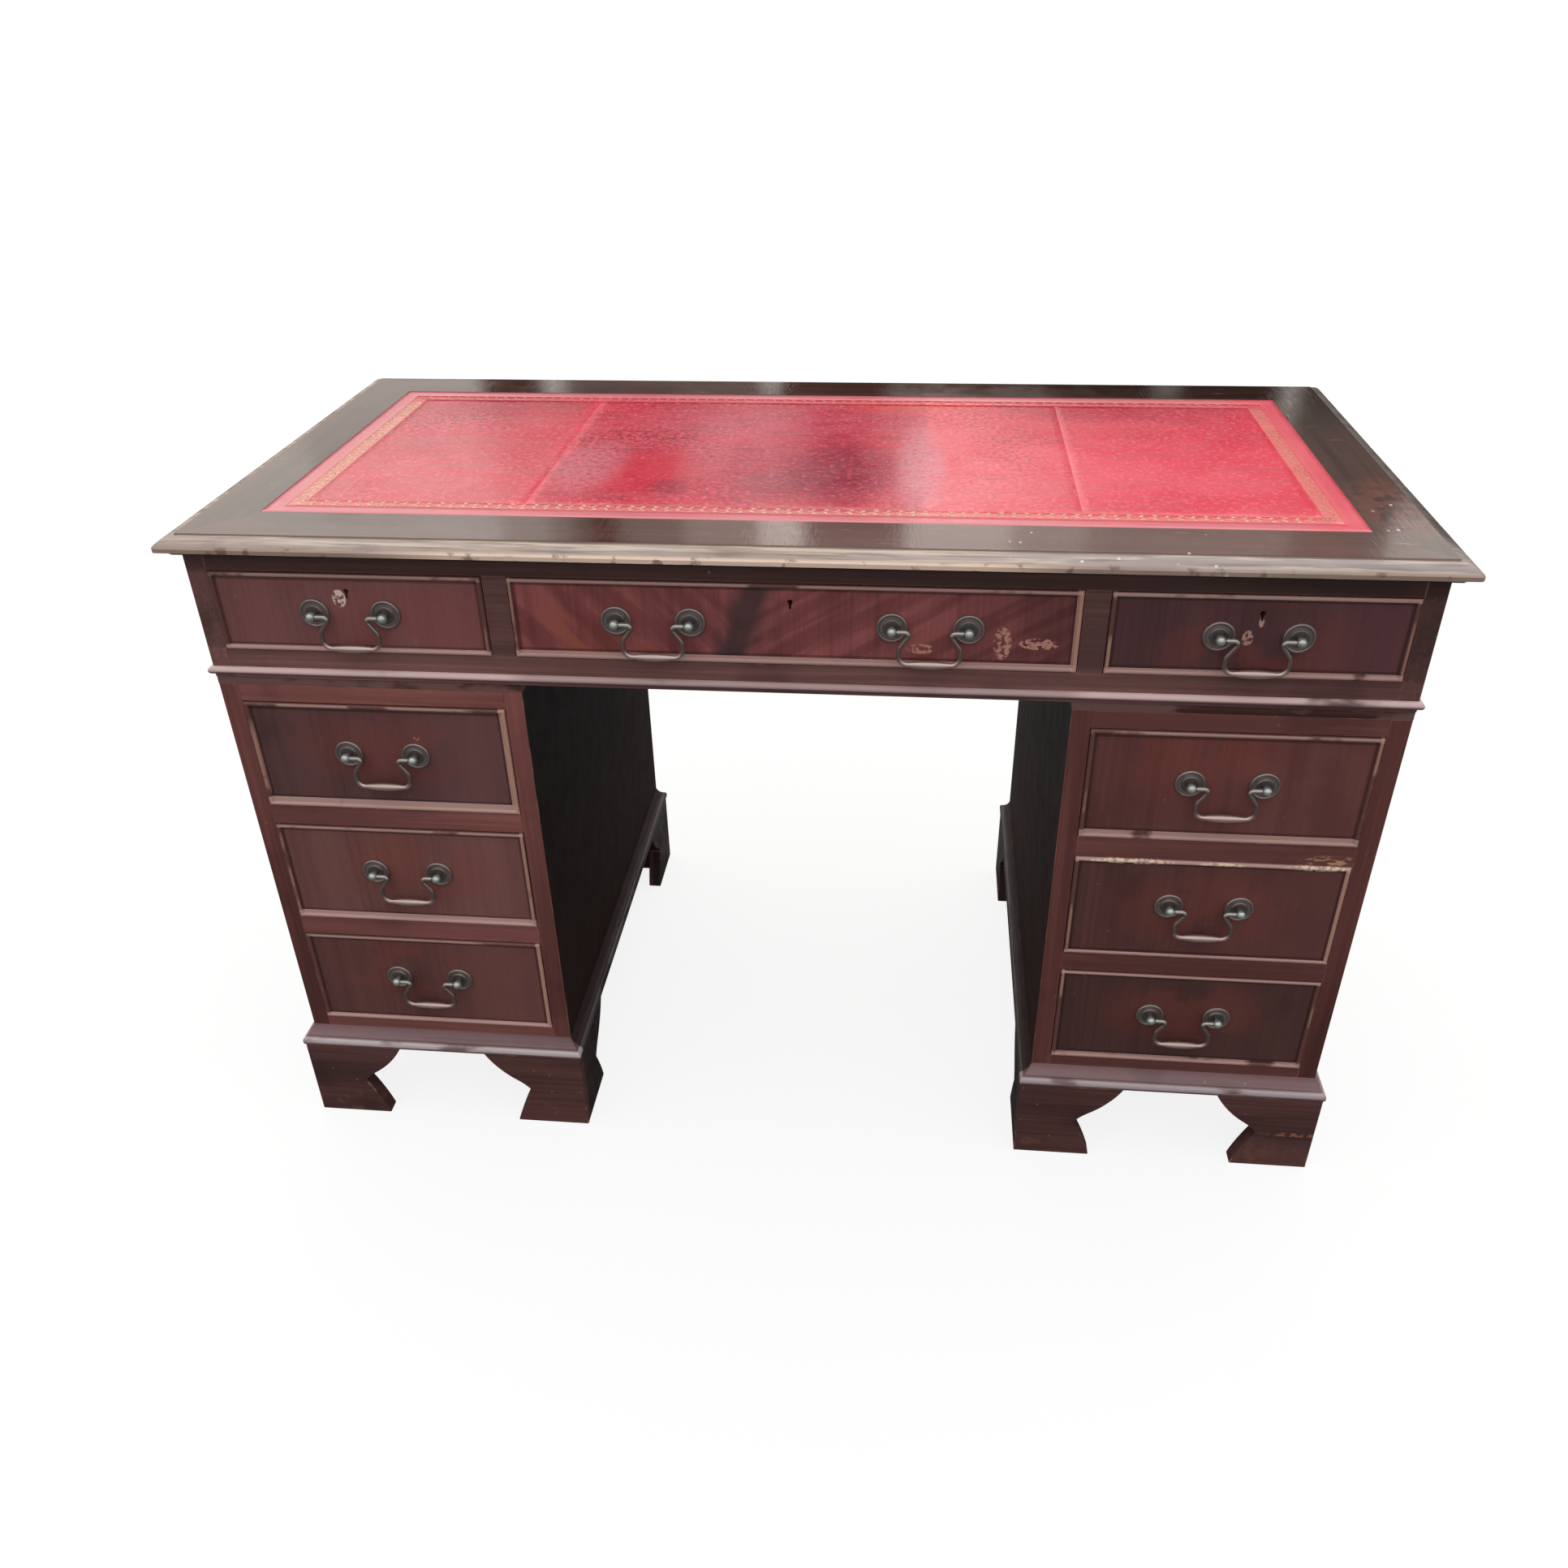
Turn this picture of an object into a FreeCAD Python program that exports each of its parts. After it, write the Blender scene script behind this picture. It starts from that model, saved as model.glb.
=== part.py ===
import FreeCAD, Part
import math
import os

# Twin-pedestal writing desk: a leather-lined top on a frieze of three drawers, carried by two
# three-drawer pedestals on bracket feet. Millimetres, +Z up, front towards -Y, and the origin
# is on the floor under the middle of the top.

# Top
desk_width = 1220.0
desk_depth = 598.0
top_thickness = 20.0
top_corner_radius = 5.0
lipping_width = 18.0
lipping_step = 1.5
nose_top = 9.5
nose_bottom = 13.5
thumb_bulge = 2.1
undercut_width = 13.0
undercut_bulge = 1.6
leather_side_margin = 76.0
leather_front_margin = 81.0
leather_back_margin = 79.0
leather_thickness = 1.2
leather_fit = 0.1

# Overhang of the top past the carcass below it
side_overhang = 21.0
front_overhang = 17.0
back_overhang = 16.0

# Heights, from the floor up
foot_height = 108.0
pedestal_bottom_rail_height = 38.0
drawer_opening_height = 126.5
middle_rail_height = 24.0
pedestal_top_rail_height = 19.5
pedestal_top_thickness = 8.0
frieze_bottom_rail_height = 31.5
frieze_opening_height = 84.0
frieze_top_rail_height = 16.5

# Frieze
frieze_end_thickness = 20.0
frieze_back_thickness = 12.0
muntin_width = 24.0
muntin_setback = 0.5
rail_depth = 45.0
bead_height = 8.5
bead_proud = 4.5
bead_lift = 3.5

# Pedestals
pedestal_width = 317.0
pedestal_inset = 1.0
pedestal_side_thickness = 20.0
pedestal_back_thickness = 8.0
pedestal_bottom_thickness = 12.0

# Runners, and the stops behind the drawers
runner_width = 20.0
stop_height = 15.0
stop_clearance = 0.3

# Plinth moulding and bracket feet
plinth_height = 24.0
plinth_proud = 12.9
plinth_nose_height = 10.5
plinth_hollow_proud = 8.0
plinth_quirk = 1.2
foot_proud = 11.4
foot_thickness = 18.0
foot_toe_width = 88.0
foot_toe_bulge = 1.5
foot_waist_width = 66.0
foot_waist_height = 52.0
foot_shoulder_width = 80.0
foot_shoulder_height = 66.0
foot_shoulder_bulge = 0.9
foot_top_width = 118.0
foot_top_bulge = 3.6
glue_block_size = 28.0
glue_block_lift = 3.0

# Locating dowels between the frieze and the pedestals
dowel_diameter = 10.0
dowel_fit = 0.1
dowel_above = 18.0
dowel_below = 22.0
dowel_front_distance = 120.0
dowel_back_distance = 80.0

# Drawers
drawer_gap = 0.7
drawer_front_thickness = 20.0
drawer_rear_gap = 40.0
drawer_side_thickness = 10.0
drawer_side_clearance = 1.2
drawer_side_drop = 4.0
drawer_run_clearance = 0.3
drawer_back_thickness = 10.0
drawer_back_drop = 3.0
drawer_bottom_thickness = 5.0
drawer_bottom_lift = 8.0
drawer_groove_depth = 5.0
drawer_groove_fit = 0.15
tail_length = 10.0
tail_pitch = 30.0
tail_share = 0.5
tail_slope_degrees = 8.0
tail_fit = 0.1

# Cockbead let in round each drawer front
cockbead_width = 4.5
cockbead_proud = 2.4
cockbead_rebate = 7.5
cockbead_nose = 1.9

# Swing handles
handle_spacing = 72.0
centre_handle_inward = 3.75
pedestal_handle_rise = 5.0
pivot_reach = 11.0
rose_radius = 15.0
rose_rim_height = 0.7
rose_ring_width = 3.4
rose_ring_height = 2.9
rose_dish_height = 1.6
rose_boss_radius = 9.0
rose_boss_height = 3.4
post_shank_radius = 2.5
post_neck_radius = 3.0
post_collar_radius = 4.6
post_collar_height = 1.2
post_head_radius = 4.8
post_fit = 0.2
post_tail = 2.0
nut_across_flats = 9.0
nut_thickness = 4.0
nut_fit = 0.05
pin_radius = 1.5
pin_fit = 0.05
pin_past_centre = 3.0
bail_shoulder_clearance = 0.4
bail_arm_radius = 2.4
bail_grip_radius = 4.2
bail_drop = 33.0
bail_eye_inset = 19.0
bail_eye_radius = 3.5
bail_side_inset = 7.0
bail_hip_drop = 17.0
bail_hip_radius = 8.0
bail_low_radius = 9.0

# Drawer locks in the frieze
lock_width = 58.0
lock_height = 38.0
lock_depth = 11.0
bolt_width = 14.0
bolt_thickness = 6.0
bolt_fit = 0.3
bolt_throw = 7.0
mortise_fit = 1.0
keyhole_drop = 19.0
keyhole_radius = 2.6
keyhole_slot_width = 2.2
keyhole_slot_length = 7.5
key_room = 5.0

# Room left round a cutter, so that it passes right through what it cuts
cut_margin = 1.0

# Places that follow from the sizes above
front_y = front_overhang - desk_depth / 2
back_y = desk_depth / 2 - back_overhang
rail_back_y = front_y + rail_depth
drawer_face_back_y = front_y + drawer_front_thickness
frieze_inner_back_y = back_y - frieze_back_thickness
pedestal_inner_back_y = back_y - pedestal_back_thickness
drawer_back_y = min(frieze_inner_back_y, pedestal_inner_back_y) - drawer_rear_gap
frieze_x = desk_width / 2 - side_overhang
frieze_inner_x = frieze_x - frieze_end_thickness
pedestal_outer_x = frieze_x - pedestal_inset
pedestal_inner_x = pedestal_outer_x - pedestal_width
muntin_inner_x = pedestal_inner_x + muntin_setback
muntin_outer_x = muntin_inner_x + muntin_width
opening_pitch = drawer_opening_height + middle_rail_height
opening_floors = [foot_height + pedestal_bottom_rail_height + step * opening_pitch for step in range(3)]
pedestal_rail_z = opening_floors[2] + drawer_opening_height
pedestal_shelf_z = pedestal_rail_z + pedestal_top_rail_height
frieze_z = pedestal_shelf_z + pedestal_top_thickness
frieze_floor_z = frieze_z + frieze_bottom_rail_height
frieze_rail_z = frieze_floor_z + frieze_opening_height
top_under_z = frieze_rail_z + frieze_top_rail_height
top_z = top_under_z + top_thickness
lock_top_z = frieze_rail_z - drawer_gap
keyhole_z = frieze_rail_z - keyhole_drop
bolt_middle_y = drawer_face_back_y + lock_depth / 2
post_x = handle_spacing / 2

Vector = FreeCAD.Vector
origin = Vector(0, 0, 0)
along_x = Vector(1, 0, 0)
along_y = Vector(0, 1, 0)
along_z = Vector(0, 0, 1)


def block(x0, x1, y0, y1, z0, z1):
    return Part.makeBox(x1 - x0, y1 - y0, z1 - z0, Vector(x0, y0, z0))


def mirrored(shape):
    """The same piece on the other side of the desk."""
    return shape.mirror(origin, along_x)


def both_sides(shapes):
    return shapes + [mirrored(shape) for shape in shapes]


def in_section(across, up):
    return Vector(0, across, up)


def in_elevation(across, up):
    return Vector(across, 0, up)


def outline(plane, start, *steps):
    """A closed face: each step is an end point, or (point on the arc, end point)."""
    edges = []
    here = plane(*start)
    for step in steps + (start,):
        if isinstance(step[0], tuple):
            through, end = [plane(*point) for point in step]
            edges.append(Part.Arc(here, through, end).toShape())
        else:
            end = plane(*step)
            edges.append(Part.LineSegment(here, end).toShape())
        here = end
    return Part.Face(Part.Wire(edges))


def bulged(start, end, bulge):
    """An arc step from start to end, its middle lying off the chord to the left by the bulge."""
    run = (end[0] - start[0], end[1] - start[1])
    length = math.hypot(*run)
    middle = ((start[0] + end[0]) / 2, (start[1] + end[1]) / 2)
    return (middle[0] - run[1] / length * bulge, middle[1] + run[0] / length * bulge), end


def mitred_frame(length, width, face):
    """Four lengths of moulding round a rectangle, mitred at the corners.

    The face holds the moulding's section: inwards from the rectangle's edge, and up."""
    depth = face.BoundBox.YMax + cut_margin
    low = face.BoundBox.ZMin - cut_margin
    high = face.BoundBox.ZMax + cut_margin
    runs = []
    for quarter in range(4):
        run, reach = (length, width) if quarter % 2 == 0 else (width, length)
        half = run / 2
        bar = face.extrude(Vector(run, 0, 0))
        bar.translate(Vector(-half, 0, 0))
        corners = [
            Vector(-half - cut_margin, -cut_margin, low),
            Vector(half + cut_margin, -cut_margin, low),
            Vector(half - depth, depth, low),
            Vector(depth - half, depth, low),
        ]
        plan = Part.Face(Part.makePolygon(corners + corners[:1]))
        piece = bar.common(plan.extrude(Vector(0, 0, high - low))).Solids[0]
        piece.translate(Vector(0, -reach / 2, 0))
        piece.rotate(origin, along_z, 90 * quarter)
        runs.append(piece)
    return runs


def turned(face):
    """A piece turned about Z from its half section in elevation."""
    return face.revolve(origin, along_z, 360)


def facing_front(shape, x, y, z):
    """Turns a piece made upright so that its top faces the front, and sets it in place."""
    shape.rotate(origin, along_x, 90)
    shape.translate(Vector(x, y, z))
    return shape


# The top: a board, its moulded lipping and the leather let into it

leather_x = desk_width / 2 - leather_side_margin
leather_front_y = leather_front_margin - desk_depth / 2
leather_back_y = desk_depth / 2 - leather_back_margin
leather_z = top_z - leather_thickness


def top_board():
    core_x = desk_width / 2 - lipping_width
    core_y = desk_depth / 2 - lipping_width
    board = block(-core_x, core_x, -core_y, core_y, top_under_z, top_z)
    recess = block(-leather_x, leather_x, leather_front_y, leather_back_y, leather_z, top_z)
    return [board.cut(recess)]


def leather_inset():
    half = leather_x - leather_fit
    front = leather_front_y + leather_fit
    back = leather_back_y - leather_fit
    return [block(-half, half, front, back, leather_z, top_z)]


def top_edge_moulding():
    thumb_start = (lipping_width, top_z - lipping_step)
    nose_start = (0.0, top_z - nose_top)
    nose_end = (0.0, top_z - nose_bottom)
    under = (undercut_width, top_under_z)
    face = outline(
        in_section,
        thumb_start,
        bulged(thumb_start, nose_start, -thumb_bulge),
        nose_end,
        bulged(nose_end, under, undercut_bulge),
        (lipping_width, top_under_z),
    )
    plan = block(-desk_width / 2, desk_width / 2, -desk_depth / 2, desk_depth / 2, top_under_z, top_z)
    upright = [edge for edge in plan.Edges if edge.BoundBox.ZLength > top_thickness / 2]
    plan = plan.makeFillet(top_corner_radius, upright)
    return [run.common(plan).Solids[0] for run in mitred_frame(desk_width, desk_depth, face)]


# The frieze: ends, back, front rails with muntins, and a divider behind each muntin


def dowel_places():
    half_side = pedestal_side_thickness / 2
    middles = (pedestal_outer_x - half_side, pedestal_inner_x + half_side)
    rows = (front_y + dowel_front_distance, back_y - dowel_back_distance)
    return [(side * x, y) for side in (1, -1) for x in middles for y in rows]


def dowels(fit):
    bottom = frieze_z - dowel_below - fit
    length = dowel_above + dowel_below + 2 * fit
    radius = dowel_diameter / 2 + fit
    return [Part.makeCylinder(radius, length, Vector(x, y, bottom)) for x, y in dowel_places()]


def drilled(shapes):
    """Boards with the holes of the locating dowels."""
    holes = Part.makeCompound(dowels(dowel_fit))
    return [shape.cut(holes).Solids[0] for shape in shapes]


def frieze_ends():
    return drilled(both_sides([block(frieze_inner_x, frieze_x, front_y, back_y, frieze_z, top_under_z)]))


def frieze_back():
    return [block(-frieze_inner_x, frieze_inner_x, frieze_inner_back_y, back_y, frieze_z, top_under_z)]


def frieze_front_rails():
    bottom = block(-frieze_inner_x, frieze_inner_x, front_y, rail_back_y, frieze_z, frieze_floor_z)
    top = block(-frieze_inner_x, frieze_inner_x, front_y, rail_back_y, frieze_rail_z, top_under_z)
    for x in lock_middles():
        top = top.cut(bolt_mortise(x))
    muntin = block(muntin_inner_x, muntin_outer_x, front_y, rail_back_y, frieze_floor_z, frieze_rail_z)
    return [bottom, top] + both_sides([muntin])


def frieze_dividers():
    divider = block(muntin_inner_x, muntin_outer_x, rail_back_y, frieze_inner_back_y, frieze_z, top_under_z)
    return drilled(both_sides([divider]))


def frieze_bead():
    base = frieze_z + bead_lift
    middle = base + bead_height / 2
    top = base + bead_height
    face = outline(in_section, (bead_proud, base), ((0.0, middle), (bead_proud, top)))
    length = 2 * (frieze_x + bead_proud)
    runs = mitred_frame(length, back_y - front_y + 2 * bead_proud, face)
    for run in runs:
        run.translate(Vector(0, (front_y + back_y) / 2, 0))
    return runs


# The pedestals: sides, back, top and bottom boards, and the rails between the drawers


def pedestal_sides():
    sides = []
    for x0 in (pedestal_inner_x, pedestal_outer_x - pedestal_side_thickness):
        x1 = x0 + pedestal_side_thickness
        sides.append(block(x0, x1, front_y, back_y, foot_height, pedestal_shelf_z))
    return drilled(both_sides(sides))


pedestal_clear_x = (pedestal_inner_x + pedestal_side_thickness, pedestal_outer_x - pedestal_side_thickness)


def pedestal_backs():
    inner_y = pedestal_inner_back_y
    return both_sides([block(*pedestal_clear_x, inner_y, back_y, foot_height, pedestal_shelf_z)])


def pedestal_boards():
    shelf = block(pedestal_inner_x, pedestal_outer_x, front_y, back_y, pedestal_shelf_z, frieze_z)
    floor_top = foot_height + pedestal_bottom_thickness
    floor = block(*pedestal_clear_x, rail_back_y, pedestal_inner_back_y, foot_height, floor_top)
    return drilled(both_sides([shelf])) + both_sides([floor])


def pedestal_rail_heights():
    spans = [(foot_height, opening_floors[0])]
    for lower, upper in zip(opening_floors, opening_floors[1:]):
        spans.append((lower + drawer_opening_height, upper))
    spans.append((pedestal_rail_z, pedestal_shelf_z))
    return spans


def pedestal_front_rails():
    rails = [block(*pedestal_clear_x, front_y, rail_back_y, *span) for span in pedestal_rail_heights()]
    return both_sides(rails)


# Runners at each side of a drawer, level with the rails, and the stops at their back ends


def side_strips(x0, x1, z0, z1, y1):
    return [
        block(x0, x0 + runner_width, rail_back_y, y1, z0, z1),
        block(x1 - runner_width, x1, rail_back_y, y1, z0, z1),
    ]


def drawer_stops(x0, x1, floor, y1):
    start = drawer_back_y + stop_clearance
    return [
        block(x0, x0 + runner_width, start, y1, floor, floor + stop_height),
        block(x1 - runner_width, x1, start, y1, floor, floor + stop_height),
    ]


def drawer_runners():
    strips = []
    for x0, x1 in frieze_openings():
        strips += side_strips(x0, x1, frieze_z, frieze_floor_z, frieze_inner_back_y)
        strips += side_strips(x0, x1, frieze_rail_z, top_under_z, frieze_inner_back_y)
        strips += drawer_stops(x0, x1, frieze_floor_z, frieze_inner_back_y)
    pedestal = []
    for z0, z1 in pedestal_rail_heights():
        base = max(z0, foot_height + pedestal_bottom_thickness)
        pedestal += side_strips(*pedestal_clear_x, base, z1, pedestal_inner_back_y)
    for floor in opening_floors:
        pedestal += drawer_stops(*pedestal_clear_x, floor, pedestal_inner_back_y)
    return strips + both_sides(pedestal)


# The plinth moulding and the bracket feet under each pedestal


def plinth_mouldings():
    top = foot_height + plinth_height
    nose_top_z = foot_height + plinth_nose_height
    hollow_in = plinth_proud - plinth_hollow_proud
    foot_in = plinth_proud - foot_proud
    quirk_point = (hollow_in - plinth_quirk, nose_top_z)
    hollow_foot = (hollow_in, nose_top_z + plinth_quirk)
    face = outline(
        in_section,
        (plinth_proud, top),
        bulged((plinth_proud, top), hollow_foot, plinth_quirk),
        (hollow_in, nose_top_z),
        quirk_point,
        ((0.0, foot_height + plinth_nose_height / 2), (foot_in, foot_height)),
        (plinth_proud, foot_height),
    )
    length = pedestal_width + 2 * plinth_proud
    runs = mitred_frame(length, back_y - front_y + 2 * plinth_proud, face)
    middle = Vector((pedestal_inner_x + pedestal_outer_x) / 2, (front_y + back_y) / 2, 0)
    for run in runs:
        run.translate(middle)
    return both_sides(runs)


def corner_foot():
    """Two brackets mitred at the corner, which is at the origin, and the block glued behind them."""
    toe = (foot_toe_width, 0.0)
    waist = (foot_waist_width, foot_waist_height)
    shoulder = (foot_shoulder_width, foot_shoulder_height)
    top = (foot_top_width, foot_height)
    face = outline(
        in_elevation,
        (0.0, 0.0),
        toe,
        bulged(toe, waist, -foot_toe_bulge),
        bulged(waist, shoulder, foot_shoulder_bulge),
        bulged(shoulder, top, -foot_top_bulge),
        (0.0, foot_height),
    )
    plank = face.extrude(Vector(0, foot_thickness, 0))
    far = foot_thickness + cut_margin
    corners = [
        Vector(-cut_margin, -cut_margin, -cut_margin),
        Vector(far, far, -cut_margin),
        Vector(-cut_margin, far, -cut_margin),
    ]
    plan = Part.Face(Part.makePolygon(corners + corners[:1]))
    wedge = plan.extrude(Vector(0, 0, foot_height + 2 * cut_margin))
    bracket = plank.cut(wedge).Solids[0]
    partner = bracket.mirror(origin, Vector(1, -1, 0))
    block_end = foot_thickness + glue_block_size
    glue_block = block(foot_thickness, block_end, foot_thickness, block_end, glue_block_lift, foot_height)
    return [bracket, partner, glue_block]


def bracket_feet():
    """The four corner feet of the right pedestal."""
    feet = []
    for x, mirror_x in ((pedestal_inner_x - foot_proud, False), (pedestal_outer_x + foot_proud, True)):
        for y, mirror_y in ((front_y - foot_proud, False), (back_y + foot_proud, True)):
            for piece in corner_foot():
                if mirror_x:
                    piece = piece.mirror(origin, along_x)
                if mirror_y:
                    piece = piece.mirror(origin, along_y)
                piece.translate(Vector(x, y, 0))
                feet.append(piece)
    return feet


# Drawers: a front with its cockbead, dovetailed sides, a back, and a bottom in grooves


def frieze_openings():
    return [
        (-frieze_inner_x, -muntin_outer_x),
        (-muntin_inner_x, muntin_inner_x),
        (muntin_outer_x, frieze_inner_x),
    ]


def side_boards(x0, x1):
    """The two drawer sides' places across the opening."""
    left = x0 + drawer_side_clearance
    right = x1 - drawer_side_clearance
    return [(left, left + drawer_side_thickness), (right - drawer_side_thickness, right)]


def dovetails(x0, x1, z0, z1, fit):
    """The tails on the front end of a drawer side, or with a fit the sockets that take them."""
    count = max(2, round((z1 - z0) / tail_pitch))
    pitch = (z1 - z0) / count
    root = pitch * tail_share / 2 + fit
    flare = tail_length * math.tan(math.radians(tail_slope_degrees))
    start = drawer_face_back_y
    end = start - tail_length - fit
    tails = []
    for step in range(count):
        middle = z0 + (step + 0.5) * pitch
        face = outline(
            in_section,
            (start, middle - root),
            (end, middle - root - flare),
            (end, middle + root + flare),
            (start, middle + root),
        )
        tail = face.extrude(Vector(x1 - x0, 0, 0))
        tail.translate(Vector(x0, 0, 0))
        tails.append(tail)
    return tails


def side_heights(floor, height):
    return floor + drawer_run_clearance, floor + height - drawer_side_drop


def bottom_heights(floor):
    lower = floor + drawer_run_clearance + drawer_bottom_lift
    return lower, lower + drawer_bottom_thickness


def keyhole(x, y0, y1):
    """A round hole over a slot, from y0 back to y1."""
    hole = Part.makeCylinder(keyhole_radius, y1 - y0, Vector(x, y0, keyhole_z), along_y)
    half = keyhole_slot_width / 2
    return hole.fuse(block(x - half, x + half, y0, y1, keyhole_z - keyhole_slot_length, keyhole_z))


def drawer_front(x0, x1, floor, height, handles, locked):
    left, right = x0 + drawer_gap, x1 - drawer_gap
    bottom, top = floor + drawer_gap, floor + height - drawer_gap
    board = block(left, right, front_y, drawer_face_back_y, bottom, top)
    rebate_y = front_y + cockbead_rebate
    inset = cockbead_width
    field = block(left + inset, right - inset, front_y, rebate_y, bottom + inset, top - inset)
    board = board.cut(block(left, right, front_y, rebate_y, bottom, top).cut(field))
    side_low, side_high = side_heights(floor, height)
    (_, left_in), (right_in, _) = side_boards(x0, x1)
    for tail in dovetails(left - cut_margin, left_in + tail_fit, side_low, side_high, tail_fit):
        board = board.cut(tail)
    for tail in dovetails(right_in - tail_fit, right + cut_margin, side_low, side_high, tail_fit):
        board = board.cut(tail)
    groove_low, groove_high = bottom_heights(floor)
    board = board.cut(
        block(
            left_in,
            right_in,
            drawer_face_back_y - drawer_groove_depth,
            drawer_face_back_y,
            groove_low - drawer_groove_fit,
            groove_high + drawer_groove_fit,
        )
    )
    handle_z = handle_height(floor, height)
    for handle_x in handles:
        for side in (-1, 1):
            start = Vector(handle_x + side * post_x, front_y - cut_margin, handle_z)
            length = drawer_front_thickness + 2 * cut_margin
            board = board.cut(Part.makeCylinder(post_shank_radius + post_fit, length, start, along_y))
    if locked:
        board = board.cut(keyhole((x0 + x1) / 2, front_y - cut_margin, drawer_face_back_y + cut_margin))
    return board.Solids + cockbeads(left, right, bottom, top)


def cockbeads(left, right, bottom, top):
    shoulder = cockbead_proud - cockbead_nose
    face = outline(
        in_section,
        (0.0, -cockbead_rebate),
        (0.0, shoulder),
        ((cockbead_width / 2, cockbead_proud), (cockbead_width, shoulder)),
        (cockbead_width, -cockbead_rebate),
    )
    runs = mitred_frame(right - left, top - bottom, face)
    return [facing_front(run, (left + right) / 2, front_y, (bottom + top) / 2) for run in runs]


def drawer_box(x0, x1, floor, height):
    low, high = side_heights(floor, height)
    panel_low, panel_high = bottom_heights(floor)
    (left_out, left_in), (right_in, right_out) = side_boards(x0, x1)
    depth = drawer_groove_depth
    fit = drawer_groove_fit
    pieces = []
    for outer, inner, inwards in ((left_out, left_in, 1), (right_out, right_in, -1)):
        x_low, x_high = sorted((outer, inner))
        side = block(x_low, x_high, drawer_face_back_y, drawer_back_y, low, high)
        for tail in dovetails(x_low, x_high, low, high, 0.0):
            side = side.fuse(tail)
        groove_x = sorted((inner - inwards * depth, inner))
        groove = block(*groove_x, drawer_face_back_y, drawer_back_y, panel_low - fit, panel_high + fit)
        pieces.append(side.removeSplitter().cut(groove).Solids[0])
    panel_x = (left_in - depth + fit, right_in + depth - fit)
    panel_y = drawer_face_back_y + fit
    panel = block(*panel_x, panel_y, drawer_back_y, panel_low, panel_high)
    tongue_y = drawer_face_back_y - depth + fit
    tongue = block(left_in + fit, right_in - fit, tongue_y, panel_y, panel_low, panel_high)
    pieces.append(panel.fuse(tongue).removeSplitter().Solids[0])
    back_start = drawer_back_y - drawer_back_thickness
    pieces.append(block(left_in, right_in, back_start, drawer_back_y, panel_high, high - drawer_back_drop))
    return pieces


# Swing handles: two roses, a turned post through each with its nut inside, and the bail


def handle_height(floor, height):
    rise = 0.0 if floor == frieze_floor_z else pedestal_handle_rise
    return floor + height / 2 + rise


def rose():
    bore = post_shank_radius + post_fit
    ring_in = rose_radius - rose_ring_width
    ring_middle = rose_radius - rose_ring_width / 2
    boss_edge = rose_boss_radius - (rose_boss_height - rose_dish_height)
    face = outline(
        in_elevation,
        (bore, 0.0),
        (rose_radius, 0.0),
        (rose_radius, rose_rim_height),
        ((ring_middle, rose_ring_height), (ring_in, rose_dish_height)),
        (rose_boss_radius, rose_dish_height),
        bulged((rose_boss_radius, rose_dish_height), (boss_edge, rose_boss_height), -rose_rim_height),
        (bore, rose_boss_height),
    )
    return turned(face)


def post():
    collar_top = rose_boss_height + post_collar_height
    inner_end = -drawer_front_thickness - nut_thickness - post_tail
    head_start = pivot_reach - math.sqrt(post_head_radius**2 - post_neck_radius**2)
    face = outline(
        in_elevation,
        (0.0, inner_end),
        (post_shank_radius, inner_end),
        (post_shank_radius, rose_boss_height),
        (post_collar_radius, rose_boss_height),
        (post_collar_radius, collar_top),
        (post_neck_radius, collar_top),
        (post_neck_radius, head_start),
        ((post_head_radius, pivot_reach), (0.0, pivot_reach + post_head_radius)),
    )
    bore_length = 2 * (post_head_radius + cut_margin)
    bore_start = Vector(-bore_length / 2, 0, pivot_reach)
    return turned(face).cut(Part.makeCylinder(pin_radius + pin_fit, bore_length, bore_start, along_x))


def nut():
    reach = nut_across_flats / math.sqrt(3)
    corners = [Vector(reach, 0, 0)]
    for step in range(1, 7):
        angle = math.radians(60 * step)
        corners.append(Vector(reach * math.cos(angle), reach * math.sin(angle), 0))
    corners[6] = corners[0]
    prism = Part.Face(Part.makePolygon(corners)).extrude(Vector(0, 0, nut_thickness))
    prism = prism.cut(Part.makeCylinder(post_shank_radius + nut_fit, nut_thickness))
    prism.translate(Vector(0, 0, -drawer_front_thickness - nut_thickness))
    return prism


def handle_fittings(handles, handle_z):
    pieces = []
    for handle_x in handles:
        for side in (-1, 1):
            for piece in (rose(), post(), nut()):
                pieces.append(facing_front(piece, handle_x + side * post_x, front_y, handle_z))
    return pieces


def corner_arc(before, corner, after, radius):
    """Where the round of a path's corner starts, its middle, and where it ends."""
    towards_before = (before - corner).normalize()
    towards_after = (after - corner).normalize()
    half_angle = towards_before.getAngle(towards_after) / 2
    tangent = radius / math.tan(half_angle)
    bisector = (towards_before + towards_after).normalize()
    middle = corner + bisector * (radius / math.sin(half_angle) - radius)
    return corner + towards_before * tangent, middle, corner + towards_after * tangent


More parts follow.
